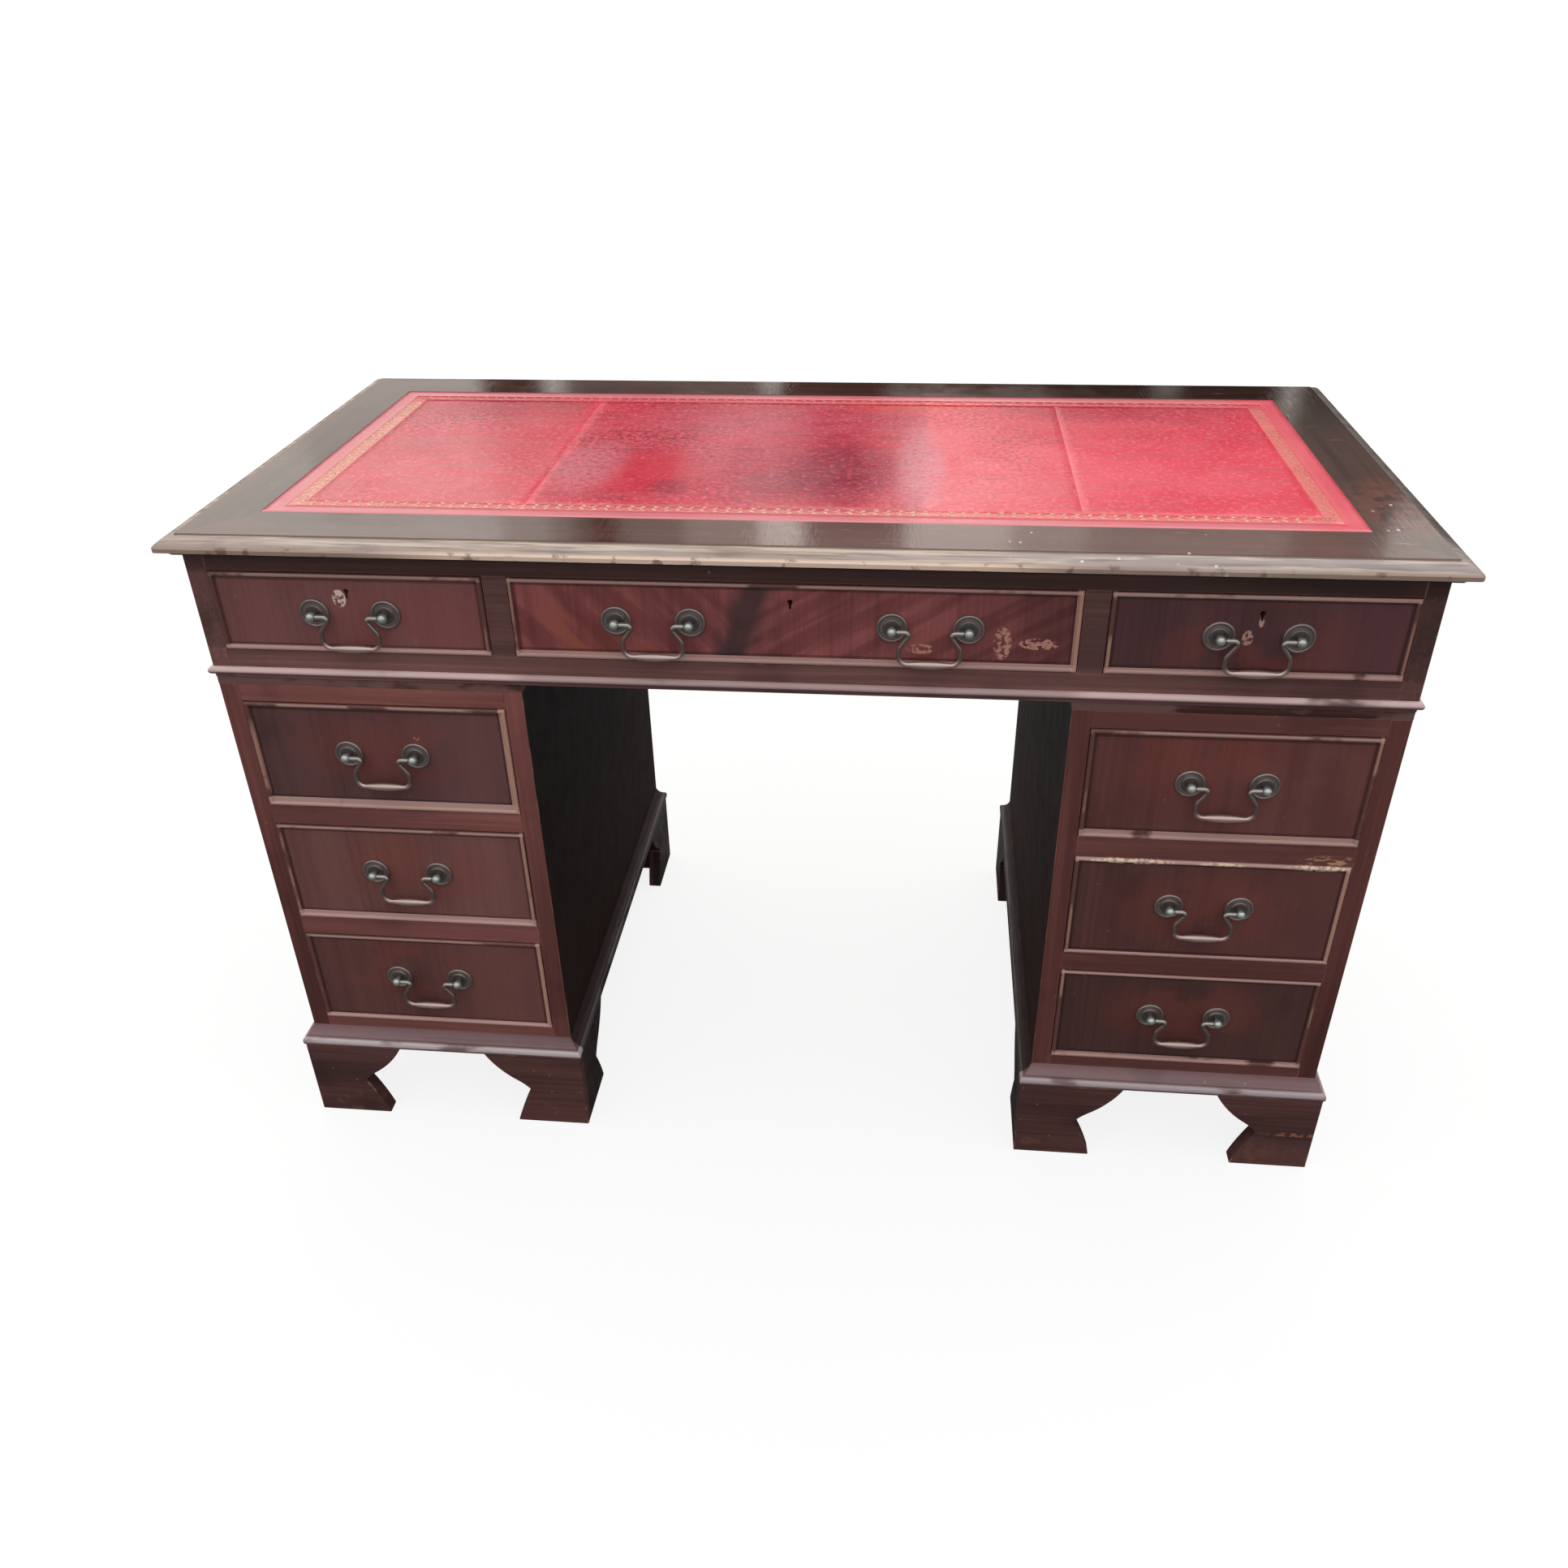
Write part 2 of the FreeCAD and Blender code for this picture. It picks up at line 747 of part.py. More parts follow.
def bail(handle_x, handle_z):
    """A swan-necked bail: pins in the posts, arms that swell outwards, and a tapered grip."""
    shoulder = Vector(post_x - post_head_radius - bail_shoulder_clearance, 0, 0)
    eye = Vector(post_x - bail_eye_inset, 0, 0)
    hip = Vector(post_x - bail_side_inset, 0, -bail_hip_drop)
    low = Vector(post_x - bail_side_inset, 0, -bail_drop)
    foot = Vector(0, 0, -bail_drop)
    eye_start, eye_middle, eye_end = corner_arc(shoulder, eye, hip, bail_eye_radius)
    hip_start, hip_middle, hip_end = corner_arc(eye, hip, low, bail_hip_radius)
    low_start, low_middle, low_end = corner_arc(hip, low, foot, bail_low_radius)
    path = Part.Wire(
        [
            Part.LineSegment(shoulder, eye_start).toShape(),
            Part.Arc(eye_start, eye_middle, eye_end).toShape(),
            Part.LineSegment(eye_end, hip_start).toShape(),
            Part.Arc(hip_start, hip_middle, hip_end).toShape(),
            Part.LineSegment(hip_end, low_start).toShape(),
            Part.Arc(low_start, low_middle, low_end).toShape(),
        ]
    )
    section = Part.Wire([Part.makeCircle(bail_arm_radius, shoulder, along_x)])
    arm = path.makePipeShell([section], True, False)
    pin_length = post_x + pin_past_centre - shoulder.x
    pin = Part.makeCylinder(pin_radius, pin_length, shoulder, along_x)
    grip_end = (low_end.x, bail_arm_radius)
    grip_face = outline(
        in_elevation,
        (-low_end.x, 0.0),
        (low_end.x, 0.0),
        grip_end,
        ((0.0, bail_grip_radius), (-low_end.x, bail_arm_radius)),
    )
    grip = grip_face.revolve(origin, along_x, 360)
    grip.translate(foot)
    half = arm.fuse(pin)
    whole = half.fuse([mirrored(half), grip]).removeSplitter()
    whole.translate(Vector(handle_x, front_y - pivot_reach, handle_z))
    return whole.Solids


# Locks on the three frieze drawers, each with a bolt that rises into the rail above


def lock_middles():
    return [(x0 + x1) / 2 for x0, x1 in frieze_openings()]


def bolt_space(x, fit, z0, z1):
    half_width = bolt_width / 2 + fit
    half_depth = bolt_thickness / 2 + fit
    across = (x - half_width, x + half_width)
    return block(*across, bolt_middle_y - half_depth, bolt_middle_y + half_depth, z0, z1)


def bolt_mortise(x):
    return bolt_space(x, mortise_fit, frieze_rail_z, frieze_rail_z + bolt_throw + mortise_fit)


def lock_case(x):
    half = lock_width / 2
    back = drawer_face_back_y + lock_depth
    case = block(x - half, x + half, drawer_face_back_y, back, lock_top_z - lock_height, lock_top_z)
    case = case.cut(bolt_space(x, bolt_fit, keyhole_z + key_room, lock_top_z))
    return case.cut(keyhole(x, drawer_face_back_y, bolt_middle_y)).Solids


def lock_bolt(x):
    return [bolt_space(x, 0.0, keyhole_z + key_room + bolt_fit, lock_top_z - bolt_fit)]


# Every drawer: its name, opening across, floor, height, handle places and whether it locks


def drawers():
    listed = []
    for name, (x0, x1) in zip(("frieze_left", "frieze_centre", "frieze_right"), frieze_openings()):
        middle = (x0 + x1) / 2
        handles = [middle]
        if name == "frieze_centre":
            reach = (x1 - x0) / 4 - centre_handle_inward
            handles = [middle - reach, middle + reach]
        listed.append((name + "_drawer", x0, x1, frieze_floor_z, frieze_opening_height, handles, True))
    inner, outer = pedestal_clear_x
    for side, (x0, x1) in (("left", (-outer, -inner)), ("right", (inner, outer))):
        for level, floor in zip(("lower", "middle", "upper"), opening_floors):
            name = f"{side}_{level}_drawer"
            listed.append((name, x0, x1, floor, drawer_opening_height, [(x0 + x1) / 2], False))
    return listed


def export(name, solids):
    Part.makeCompound(solids).exportStep(f"parts/{name}.step")


os.makedirs("parts", exist_ok=True)
export("top_board", top_board())
export("top_edge_moulding", top_edge_moulding())
export("leather_inset", leather_inset())
export("frieze_ends", frieze_ends())
export("frieze_back", frieze_back())
export("frieze_front_rails", frieze_front_rails())
export("frieze_dividers", frieze_dividers())
export("frieze_bead", frieze_bead())
export("drawer_runners", drawer_runners())
export("pedestal_sides", pedestal_sides())
export("pedestal_backs", pedestal_backs())
export("pedestal_boards", pedestal_boards())
export("pedestal_front_rails", pedestal_front_rails())
export("plinth_mouldings", plinth_mouldings())
export("right_bracket_feet", bracket_feet())
export("left_bracket_feet", [mirrored(piece) for piece in bracket_feet()])
export("locating_dowels", dowels(0.0))
for name, x0, x1, floor, height, handles, locked in drawers():
    handle_z = handle_height(floor, height)
    export(f"{name}_front", drawer_front(x0, x1, floor, height, handles, locked))
    export(f"{name}_box", drawer_box(x0, x1, floor, height))
    export(f"{name}_handle_fittings", handle_fittings(handles, handle_z))
    sides = ("left_", "right_") if len(handles) > 1 else ("",)
    for side, handle_x in zip(sides, handles):
        export(f"{name}_{side}bail", bail(handle_x, handle_z))
    if locked:
        export(f"{name}_lock_case", lock_case((x0 + x1) / 2))
        export(f"{name}_lock_bolt", lock_bolt((x0 + x1) / 2))
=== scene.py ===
import itertools
import math

import bmesh
import bpy
from mathutils import Matrix, Vector, noise


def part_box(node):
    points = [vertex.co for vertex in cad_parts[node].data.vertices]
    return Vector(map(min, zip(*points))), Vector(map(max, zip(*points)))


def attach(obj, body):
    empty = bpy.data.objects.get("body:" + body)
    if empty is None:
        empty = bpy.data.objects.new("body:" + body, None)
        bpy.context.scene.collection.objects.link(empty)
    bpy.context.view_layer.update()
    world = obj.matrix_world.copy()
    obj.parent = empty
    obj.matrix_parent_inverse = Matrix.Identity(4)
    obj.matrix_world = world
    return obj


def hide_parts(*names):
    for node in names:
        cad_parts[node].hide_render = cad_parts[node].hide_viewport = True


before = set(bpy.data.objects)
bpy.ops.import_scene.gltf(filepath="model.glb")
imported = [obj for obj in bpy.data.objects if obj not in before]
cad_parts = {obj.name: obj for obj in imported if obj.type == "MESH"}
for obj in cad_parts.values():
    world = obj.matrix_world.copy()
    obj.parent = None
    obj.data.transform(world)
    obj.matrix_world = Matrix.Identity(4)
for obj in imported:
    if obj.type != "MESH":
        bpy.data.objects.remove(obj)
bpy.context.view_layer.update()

# Bracket feet. Each corner of a pedestal stands on two mahogany brackets, sawn to an ogee and mitred
# together, with a block glued in behind. Shoes and brooms have scuffed the toes and the arrises.

scene = bpy.context.scene
carcass = "desk_carcass"
foot_thickness = 0.018
toe_width = 0.088
toe_bow = 0.0015
waist = (0.066, 0.052)
shoulder = (0.080, 0.066)
shoulder_bow = 0.0009
bracket_length = 0.118
bracket_bow = 0.0036
glue_block = 0.028
glue_block_lift = 0.003
foot_arris = 0.0011
smooth_angle = math.radians(32)
eased_angle = math.radians(40)
eased_segments = 2
pedestal_width = 0.317
sides_low, sides_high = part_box("pedestal_sides")
pedestal_x = sides_high.x
kneehole_x = pedestal_x - pedestal_width
front_y = sides_low.y
face_gap = 0.0002
face_soft = 0.0006


def paint(red, green, blue):
    """A colour from its 0 to 255 screen values, as the shaders take it."""
    shares = [value / 255 for value in (red, green, blue)]
    linear = [s / 12.92 if s <= 0.04045 else ((s + 0.055) / 1.055) ** 2.4 for s in shares]
    return (*linear, 1.0)


class Nodes:
    """A shader node tree in the making."""

    def __init__(self, tree):
        self.tree = tree

    def put(self, kind, sockets=(), **settings):
        """Adds a node with its settings, sets or joins the sockets given, and hands back its outputs."""
        made = self.tree.nodes.new("ShaderNode" + kind)
        for name, value in settings.items():
            setattr(made, name, value)
        for key, value in dict(sockets).items():
            if isinstance(value, bpy.types.NodeSocket):
                self.join(value, made.inputs[key])
            else:
                made.inputs[key].default_value = value
        return made.outputs

    def join(self, start, end):
        self.tree.links.new(start, end)

    def reckon(self, operation, first, second=0.0):
        return self.put("Math", {0: first, 1: second}, operation=operation)[0]

    def all_of(self, *masks):
        """Masks and shares multiplied together."""
        product = masks[0]
        for mask in masks[1:]:
            product = self.reckon("MULTIPLY", product, mask)
        return product

    def grade(self, value, low, high, at_low=0.0, at_high=1.0):
        """A soft step: at_low up to low, at_high from high on."""
        sockets = {"Value": value, "From Min": low, "From Max": high, "To Min": at_low, "To Max": at_high}
        return self.put("MapRange", sockets, interpolation_type="SMOOTHSTEP")[0]

    def mixed(self, share, first, second):
        return self.put("Mix", {0: share, 6: first, 7: second}, data_type="RGBA")[2]

    def stretched(self, place, scale):
        return self.put("VectorMath", {0: place, 1: scale}, operation="MULTIPLY")[0]

    def cloud(self, place, scale, detail):
        return self.put("TexNoise", {"Vector": place, "Scale": scale, "Detail": detail})["Fac"]

    def bent(self, place, over, scale, reach):
        """A place pushed about, as far as the reach, by noise that lies over a place of its own."""
        push = self.put("TexNoise", {"Vector": over, "Scale": scale})["Color"]
        pushed = self.put("VectorMath", {0: push, 3: reach}, operation="SCALE")[0]
        return self.put("VectorMath", {0: place, 1: pushed}, operation="ADD")[0]


def effect(name, inputs, outputs):
    """A shader node group with named sockets, and its own ends to build between."""
    made = Nodes(bpy.data.node_groups.new(name, "ShaderNodeTree"))
    for ends, in_out in ((inputs, "INPUT"), (outputs, "OUTPUT")):
        for title, kind in ends.items():
            made.tree.interface.new_socket(title, in_out=in_out, socket_type="NodeSocket" + kind)
    start = made.tree.nodes.new("NodeGroupInput")
    end = made.tree.nodes.new("NodeGroupOutput")
    return made, start.outputs, end.inputs


def mahogany_grain():
    """Grain along the first axis of Place: broad bands, fine stripes and short dark pores."""
    drift_size = (3.0, 7.0, 7.0)
    band_size = (1.6, 24.0, 24.0)
    stripe_size = (3.0, 210.0, 210.0)
    pore_size = (42.0, 1500.0, 1500.0)
    band_share = 0.6
    stripe_share = 0.4
    pore_share = 0.16
    pore_colour = paint(18, 9, 9)
    inputs = {"Place": "Vector", "Dark": "Color", "Light": "Color", "Wander": "Float"}
    made, given, out = effect("mahogany_grain", inputs, {"Colour": "Color", "Height": "Float"})
    drift = made.stretched(given["Place"], drift_size)
    place = made.bent(given["Place"], drift, 1.0, given["Wander"])
    bands = made.all_of(made.cloud(made.stretched(place, band_size), 1.0, 3.0), band_share)
    stripes = made.all_of(made.cloud(made.stretched(place, stripe_size), 1.0, 3.0), stripe_share)
    pores = made.grade(made.cloud(made.stretched(place, pore_size), 1.0, 1.0), 0.56, 0.72)
    shade = made.grade(made.reckon("ADD", bands, stripes), 0.36, 0.64)
    wood = made.mixed(shade, given["Dark"], given["Light"])
    made.join(made.mixed(made.all_of(pores, pore_share), wood, pore_colour), out["Colour"])
    made.join(made.reckon("SUBTRACT", stripes, pores), out["Height"])
    return made.tree


def rubbed_patches():
    """A ragged mask where a finish is rubbed through: the lower the Level, the more of it."""
    raggedness = 0.09
    inputs = {"Place": "Vector", "Scale": "Float", "Level": "Float"}
    made, given, out = effect("rubbed_patches", inputs, {"Mask": "Float"})
    broad = made.cloud(given["Place"], given["Scale"], 4.0)
    upper = made.reckon("ADD", given["Level"], raggedness)
    made.join(made.grade(broad, given["Level"], upper), out["Mask"])
    return made.tree


def scattered_chips():
    """A mask of small knocks: one in some of the cells, Size of a cell across."""
    bend_scale = 900.0
    bend_reach = 0.0012
    core = 0.6
    inputs = {"Place": "Vector", "Scale": "Float", "Share": "Float", "Size": "Float"}
    made, given, out = effect("scattered_chips", inputs, {"Mask": "Float"})
    place = made.bent(given["Place"], given["Place"], bend_scale, bend_reach)
    cells = made.put("TexVoronoi", {"Vector": place, "Scale": given["Scale"]})
    chosen = made.put("SeparateColor", {0: cells["Color"]})[0]
    here = made.reckon("LESS_THAN", chosen, given["Share"])
    near = made.grade(cells["Distance"], made.all_of(given["Size"], core), given["Size"], 1.0, 0.0)
    made.join(made.all_of(here, near), out["Mask"])
    return made.tree


def soft_spot():
    """An oval mask. Across and Along are measured from its middle; Width and Length are half sizes."""
    inputs = {"Across": "Float", "Along": "Float", "Width": "Float", "Length": "Float"}
    made, given, out = effect("soft_spot", inputs, {"Mask": "Float"})
    across = made.reckon("DIVIDE", given["Across"], given["Width"])
    along = made.reckon("DIVIDE", given["Along"], given["Length"])
    reach = made.reckon("ADD", made.all_of(across, across), made.all_of(along, along))
    made.join(made.grade(reach, 0.0, 1.0, 1.0, 0.0), out["Mask"])
    return made.tree


def kneehole_shade_mask():
    """A mask of what faces the kneehole, behind the front of the desk, where shade is painted."""
    made, given, out = effect("kneehole_shade_mask", {"Place": "Vector"}, {"Mask": "Float"})
    place = made.put("SeparateXYZ", {0: given["Place"]})
    from_middle = made.reckon("ABSOLUTE", place["X"])
    face_x = kneehole_x + face_gap
    inside = made.grade(from_middle, face_x, face_x + face_soft, 1.0, 0.0)
    behind = made.grade(place["Y"], front_y - face_soft, front_y + face_soft)
    made.join(made.all_of(inside, behind), out["Mask"])
    return made.tree


def uneven_sheen():
    """A roughness that wanders from Least, where hands polish a piece, to Most, where it is dull."""
    sheen_scale = 38.0
    inputs = {"Place": "Vector", "Least": "Float", "Most": "Float"}
    made, given, out = effect("uneven_sheen", inputs, {"Roughness": "Float"})
    dulled = made.cloud(given["Place"], sheen_scale, 3.0)
    made.join(made.grade(dulled, 0.3, 0.7, given["Least"], given["Most"]), out["Roughness"])
    return made.tree


grain_effect = mahogany_grain()
rub_effect = rubbed_patches()
chip_effect = scattered_chips()
spot_effect = soft_spot()
shade_mask_effect = kneehole_shade_mask()
sheen_effect = uneven_sheen()


class Finish(Nodes):
    """A material in the making: where it is on the desk, its shader, and the colour laid so far."""

    def __init__(self, name, roughness, shine, metallic=0.0):
        self.material = bpy.data.materials.new(name)
        self.material.use_nodes = True
        super().__init__(self.material.node_tree)
        self.shader = self.tree.nodes["Principled BSDF"].inputs
        self.shader["Specular IOR Level"].default_value = shine
        self.shader["Metallic"].default_value = metallic
        self.place = self.put("TexCoord")["Object"]
        self.x, self.y, self.z = self.put("SeparateXYZ", {0: self.place})
        self.axes = {"x": self.x, "y": self.y, "z": self.z}
        self.roughness = roughness
        self.colour = None
        self.height = None

    def apart(self, first, second):
        return self.reckon("SUBTRACT", first, second)

    def rest_of(self, mask):
        return self.apart(1.0, mask)

    def grade(self, value, *steps):
        """A soft step along x, y or z, or of any other value."""
        return super().grade(self.axes.get(value, value), *steps)

    def rise(self, value, low, high, most=1.0):
        return self.grade(value, low, high, 0.0, most)

    def fall(self, value, low, high, most=1.0):
        return self.grade(value, low, high, most, 0.0)

    def band(self, value, low, high, soft):
        """A mask that is full between low and high and fades out over soft."""
        return self.all_of(self.rise(value, low - soft, low), self.fall(value, high, high + soft))

    def haze(self, scale, detail=2.0):
        return self.cloud(self.place, scale, detail)

    def placed(self, group, **sockets):
        """A shared effect, placed in this material with its own values."""
        return self.put("Group", sockets, node_tree=group)

    def worn(self, group, stretch, **sockets):
        """The mask of an effect, drawn out by a stretch."""
        return self.placed(group, Place=self.stretched(self.place, stretch), **sockets)["Mask"]

    def rubbed(self, scale, level, stretch=(1.0, 1.0, 1.0)):
        return self.worn(rub_effect, stretch, Scale=scale, Level=level)

    def chips(self, scale, share, size, stretch=(1.0, 1.0, 1.0)):
        return self.worn(chip_effect, stretch, Scale=scale, Share=share, Size=size)

    def oval(self, axis, x, other, half_x, half_other):
        """A soft oval mask across x and one other axis."""
        across = self.apart(self.x, x)
        along = self.apart(axis, other)
        return self.placed(spot_effect, Across=across, Along=along, Width=half_x, Length=half_other)["Mask"]

    def front_spot(self, *place):
        return self.oval(self.z, *place)

    def top_spot(self, *place):
        return self.oval(self.y, *place)

    # The faces of the kneehole, where painted shade is laid
    def kneehole(self):
        return self.placed(shade_mask_effect, Place=self.place)["Mask"]

    def begin(self, first, second, share):
        """The ground that other colours are laid over: two colours, mixed by a share."""
        self.colour = self.mixed(share, first, second)

    def lay(self, colour, *masks):
        """Lays a colour over what is there, as far as all the masks and shares let it."""
        self.colour = self.mixed(self.all_of(*masks), self.colour, colour)

    def grain(self, axis, dark, light, wander=0.012):
        """The colour of mahogany whose grain runs along x, y or z."""
        order = [self.axes[axis], *(self.axes[other] for other in "xyz" if other != axis)]
        turned = self.put("CombineXYZ", enumerate(order))[0]
        wood = self.placed(grain_effect, Place=turned, Dark=dark, Light=light, Wander=wander)
        self.height = wood["Height"]
        return wood["Colour"]

    def close(self, roughness_swing=0.08, bump=0.05, depth=0.001):
        """Joins colour, roughness and bump to the shader, and gives the material."""
        self.join(self.colour, self.shader["Base Color"])
        least = self.roughness - roughness_swing
        most = self.roughness + roughness_swing
        sheen = self.placed(sheen_effect, Place=self.place, Least=least, Most=most)
        self.join(sheen["Roughness"], self.shader["Roughness"])
        if self.height is not None:
            sockets = {"Height": self.height, "Strength": bump, "Distance": depth}
            self.join(self.put("Bump", sockets)[0], self.shader["Normal"])
        return self.material


def polished(name, axis, dark, light, roughness=0.36, shine=0.28):
    """Old polished mahogany: grain, and darker clouds of polish over it."""
    dark_polish = paint(30, 18, 19)
    polish_share = 0.25
    made = Finish(name, roughness, shine)
    made.colour = made.grain(axis, dark, light)
    made.lay(dark_polish, made.rubbed(7.0, 0.54), polish_share)
    return made


def rubbed_edge(name, axis, dark, light, bare, level):
    """The same mahogany where an arris is rubbed, in patches, down to bare wood."""
    made = polished(name, axis, dark, light, roughness=0.45, shine=0.25)
    made.lay(bare, made.rubbed(46.0, level))
    return made.close()


def add_board(shape, low, high):
    """A sawn board between two corners."""
    for corner in bmesh.ops.create_cube(shape, size=1.0)["verts"]:
        corner.co = [a + (c + 0.5) * (b - a) for a, b, c in zip(low, high, corner.co)]


def mirrored(side, near, far):
    """The two x of a board on the left (-1) or right (1) of the desk, in order."""
    return sorted((side * near, side * far))


def bowed(start, end, bow, steps=8):
    """Points of a shallow curve from start to end, off the chord to the left by the bow."""
    first = Vector(start)
    chord = Vector(end) - first
    side = Vector((-chord.y, chord.x)).normalized()
    points = []
    for step in range(1, steps + 1):
        share = step / steps
        points.append(tuple(first + chord * share + side * (bow * 4 * share * (1 - share))))
    return points


def made_piece(name, shape, materials, nodes, arris=0.0):
    """Turns a finished shape into a piece of the carcass, in place of the nodes it details."""
    bmesh.ops.recalc_face_normals(shape, faces=shape.faces)
    mesh = bpy.data.meshes.new(name)
    shape.to_mesh(mesh)
    shape.free()
    mesh.shade_smooth()
    mesh.set_sharp_from_angle(angle=smooth_angle)
    for material in materials:
        mesh.materials.append(material)
    piece = bpy.data.objects.new(name, mesh)
    scene.collection.objects.link(piece)
    if arris:
        ease = piece.modifiers.new("eased_arrises", "BEVEL")
        ease.width = arris
        ease.segments = eased_segments
        ease.limit_method = "ANGLE"
        ease.angle_limit = eased_angle
        ease.harden_normals = True
        ease.material = len(materials) - 1
    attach(piece, carcass)
    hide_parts(*nodes)
    return piece


foot_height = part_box("left_bracket_feet")[1].z
foot_outline = [(0.0, 0.0), (toe_width, 0.0)]
foot_outline += bowed((toe_width, 0.0), waist, -toe_bow)
foot_outline += bowed(waist, shoulder, shoulder_bow, steps=4)
foot_outline += bowed(shoulder, (bracket_length, foot_height), -bracket_bow)
foot_outline.append((0.0, foot_height))


def add_corner_foot(shape, corner_x, corner_y, run_x, run_y):
    """Two brackets from a corner, one along x and one along y, mitred where they meet."""
    for along_x in (True, False):
        outer = []
        inner = []
        for along, height in foot_outline:
            behind = max(along, foot_thickness)
            near = (along, 0.0) if along_x else (0.0, along)
            far = (behind, foot_thickness) if along_x else (foot_thickness, behind)
            for rim, (dx, dy) in ((outer, near), (inner, far)):
                rim.append(shape.verts.new((corner_x + run_x * dx, corner_y + run_y * dy, height)))
        shape.faces.new(outer)
        shape.faces.new(inner)
        for step in range(len(outer) - 1):
            shape.faces.new((outer[step], outer[step + 1], inner[step + 1], inner[step]))
    block_low = foot_thickness
    block_high = foot_thickness + glue_block
    reach_x = sorted((corner_x + run_x * block_low, corner_x + run_x * block_high))
    reach_y = sorted((corner_y + run_y * block_low, corner_y + run_y * block_high))
    add_board(shape, (reach_x[0], reach_y[0], glue_block_lift), (reach_x[1], reach_y[1], foot_height))


foot_dark = paint(72, 47, 46)
foot_light = paint(101, 66, 63)
bare_foot = paint(150, 104, 84)
scuffed_toe = paint(112, 78, 68)
foot_chip = paint(140, 98, 84)
scraped_wood = paint(150, 96, 70)
scrape = (0.575, 0.052, 0.05, 0.004)
# Painted shade, laid over what faces the kneehole
kneehole_painted_shade = paint(22, 13, 12)

wood = polished("foot_mahogany", "x", foot_dark, foot_light)
wood.lay(scuffed_toe, wood.rubbed(60.0, 0.56), wood.fall("z", 0.018, 0.05), 0.6)
wood.lay(foot_chip, wood.chips(110.0, 0.10, 0.20), 0.7)
wood.lay(scraped_wood, wood.front_spot(*scrape), wood.rubbed(120.0, 0.45))
# Painted shade where the feet face the kneehole
wood.lay(kneehole_painted_shade, wood.kneehole(), 0.75)
foot_edge = rubbed_edge("rubbed_foot_edge", "x", foot_dark, foot_light, bare_foot, 0.56)
foot_skins = [wood.close(), foot_edge]

for side in ("left", "right"):
    node = f"{side}_bracket_feet"
    low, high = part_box(node)
    feet = bmesh.new()
    for corner_x, run_x in ((low.x, 1), (high.x, -1)):
        for corner_y, run_y in ((low.y, 1), (high.y, -1)):
            add_corner_foot(feet, corner_x, corner_y, run_x, run_y)
    bmesh.ops.remove_doubles(feet, verts=feet.verts, dist=1e-6)
    made_piece(f"{side}_feet", feet, foot_skins, [node], foot_arris)

# Plinth moulding. A hollow over a rounded nose, run in mahogany and mitred round the foot of each
# pedestal, where it hides the joint with the feet. Its nose is polished pale by knocks.

plinth_height = 0.024
plinth_proud = 0.0129
plinth_nose_height = 0.0105
hollow_in = 0.0049
quirk = 0.0012
foot_in = 0.0015
plain_run = 0.012
nose_steps = 10
round_steps = 5


def add_moulding(shape, low, high, section, spacing, corner_radius=0.0, worn=None):
    """A moulding mitred round a rectangle. The section lists points: inwards from the edge, and height."""
    corner_steps = round_steps if corner_radius else 1
    stations = []
    corners = [(low, low, 180), (high, low, 270), (high, high, 0), (low, high, 90)]
    for at_x, at_y, turn in corners:
        run_x = 1 if at_x is low else -1
        run_y = 1 if at_y is low else -1
        for step in range(corner_steps):
            share = step / max(1, corner_steps - 1)
            angle = math.radians(turn + 90 * share)
            stations.append((at_x[0], at_y[1], run_x, run_y, math.cos(angle), math.sin(angle)))

    def at(station, inset):
        x, y, run_x, run_y, cos, sin = station
        reach = max(corner_radius, inset)
        left = max(0.0, corner_radius - inset)
        return Vector((x + run_x * reach + cos * left, y + run_y * reach + sin * left, 0.0))

    rings = []
    for number, station in enumerate(stations):
        following = stations[(number + 1) % len(stations)]
        length = (at(following, 0.0) - at(station, 0.0)).length
        count = max(1, round(length / spacing))
        for step in range(count):
            ring = []
            for inset, height in section:
                point = at(station, inset).lerp(at(following, inset), step / count)
                point.z = height
                if worn:
                    point = worn(point, inset)
                ring.append(shape.verts.new(point))
            rings.append(ring)
    for number, ring in enumerate(rings):
        following = rings[(number + 1) % len(rings)]
        for step in range(len(section)):
            other = (step + 1) % len(section)
            shape.faces.new((ring[step], following[step], following[other], ring[other]))
    bmesh.ops.remove_doubles(shape, verts=shape.verts, dist=2e-6)


plinth_low, plinth_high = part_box("plinth_mouldings")
plinth_top = plinth_low.z + plinth_height
plinth_nose_top = plinth_low.z + plinth_nose_height
nose_half = plinth_nose_height / 2
plinth_section = [(plinth_proud, plinth_top)]
plinth_section += bowed((plinth_proud, plinth_top), (hollow_in, plinth_nose_top + quirk), quirk)
plinth_section += [(hollow_in, plinth_nose_top)]
for step in range(nose_steps + 1):
    angle = math.pi * (0.5 - step / nose_steps)
    full = hollow_in - quirk if angle > 0 else foot_in
    plinth_section.append((full * (1 - math.cos(angle)), plinth_low.z + nose_half * (1 + math.sin(angle))))
plinth_section.append((plinth_proud, plinth_low.z))

plinth_dark = paint(98, 71, 72)
plinth_light = paint(128, 97, 99)
worn_plinth = paint(196, 182, 186)
plinth_chip = paint(168, 140, 132)
wood = polished("plinth_mahogany", "x", plinth_dark, plinth_light, roughness=0.42, shine=0.5)
on_nose = wood.band("z", plinth_nose_top - 0.0062, plinth_nose_top - 0.0008, 0.0012)
worn_share = wood.grade("x", -0.2, 0.2, 0.98, 0.70)
wood.lay(worn_plinth, on_nose, wood.rubbed(26.0, 0.38, (0.35, 0.35, 1.0)), worn_share)
wood.lay(plinth_chip, wood.chips(90.0, 0.10, 0.20), 0.6)
# Painted shade where the moulding faces the kneehole
wood.lay(kneehole_painted_shade, wood.kneehole(), 0.85)

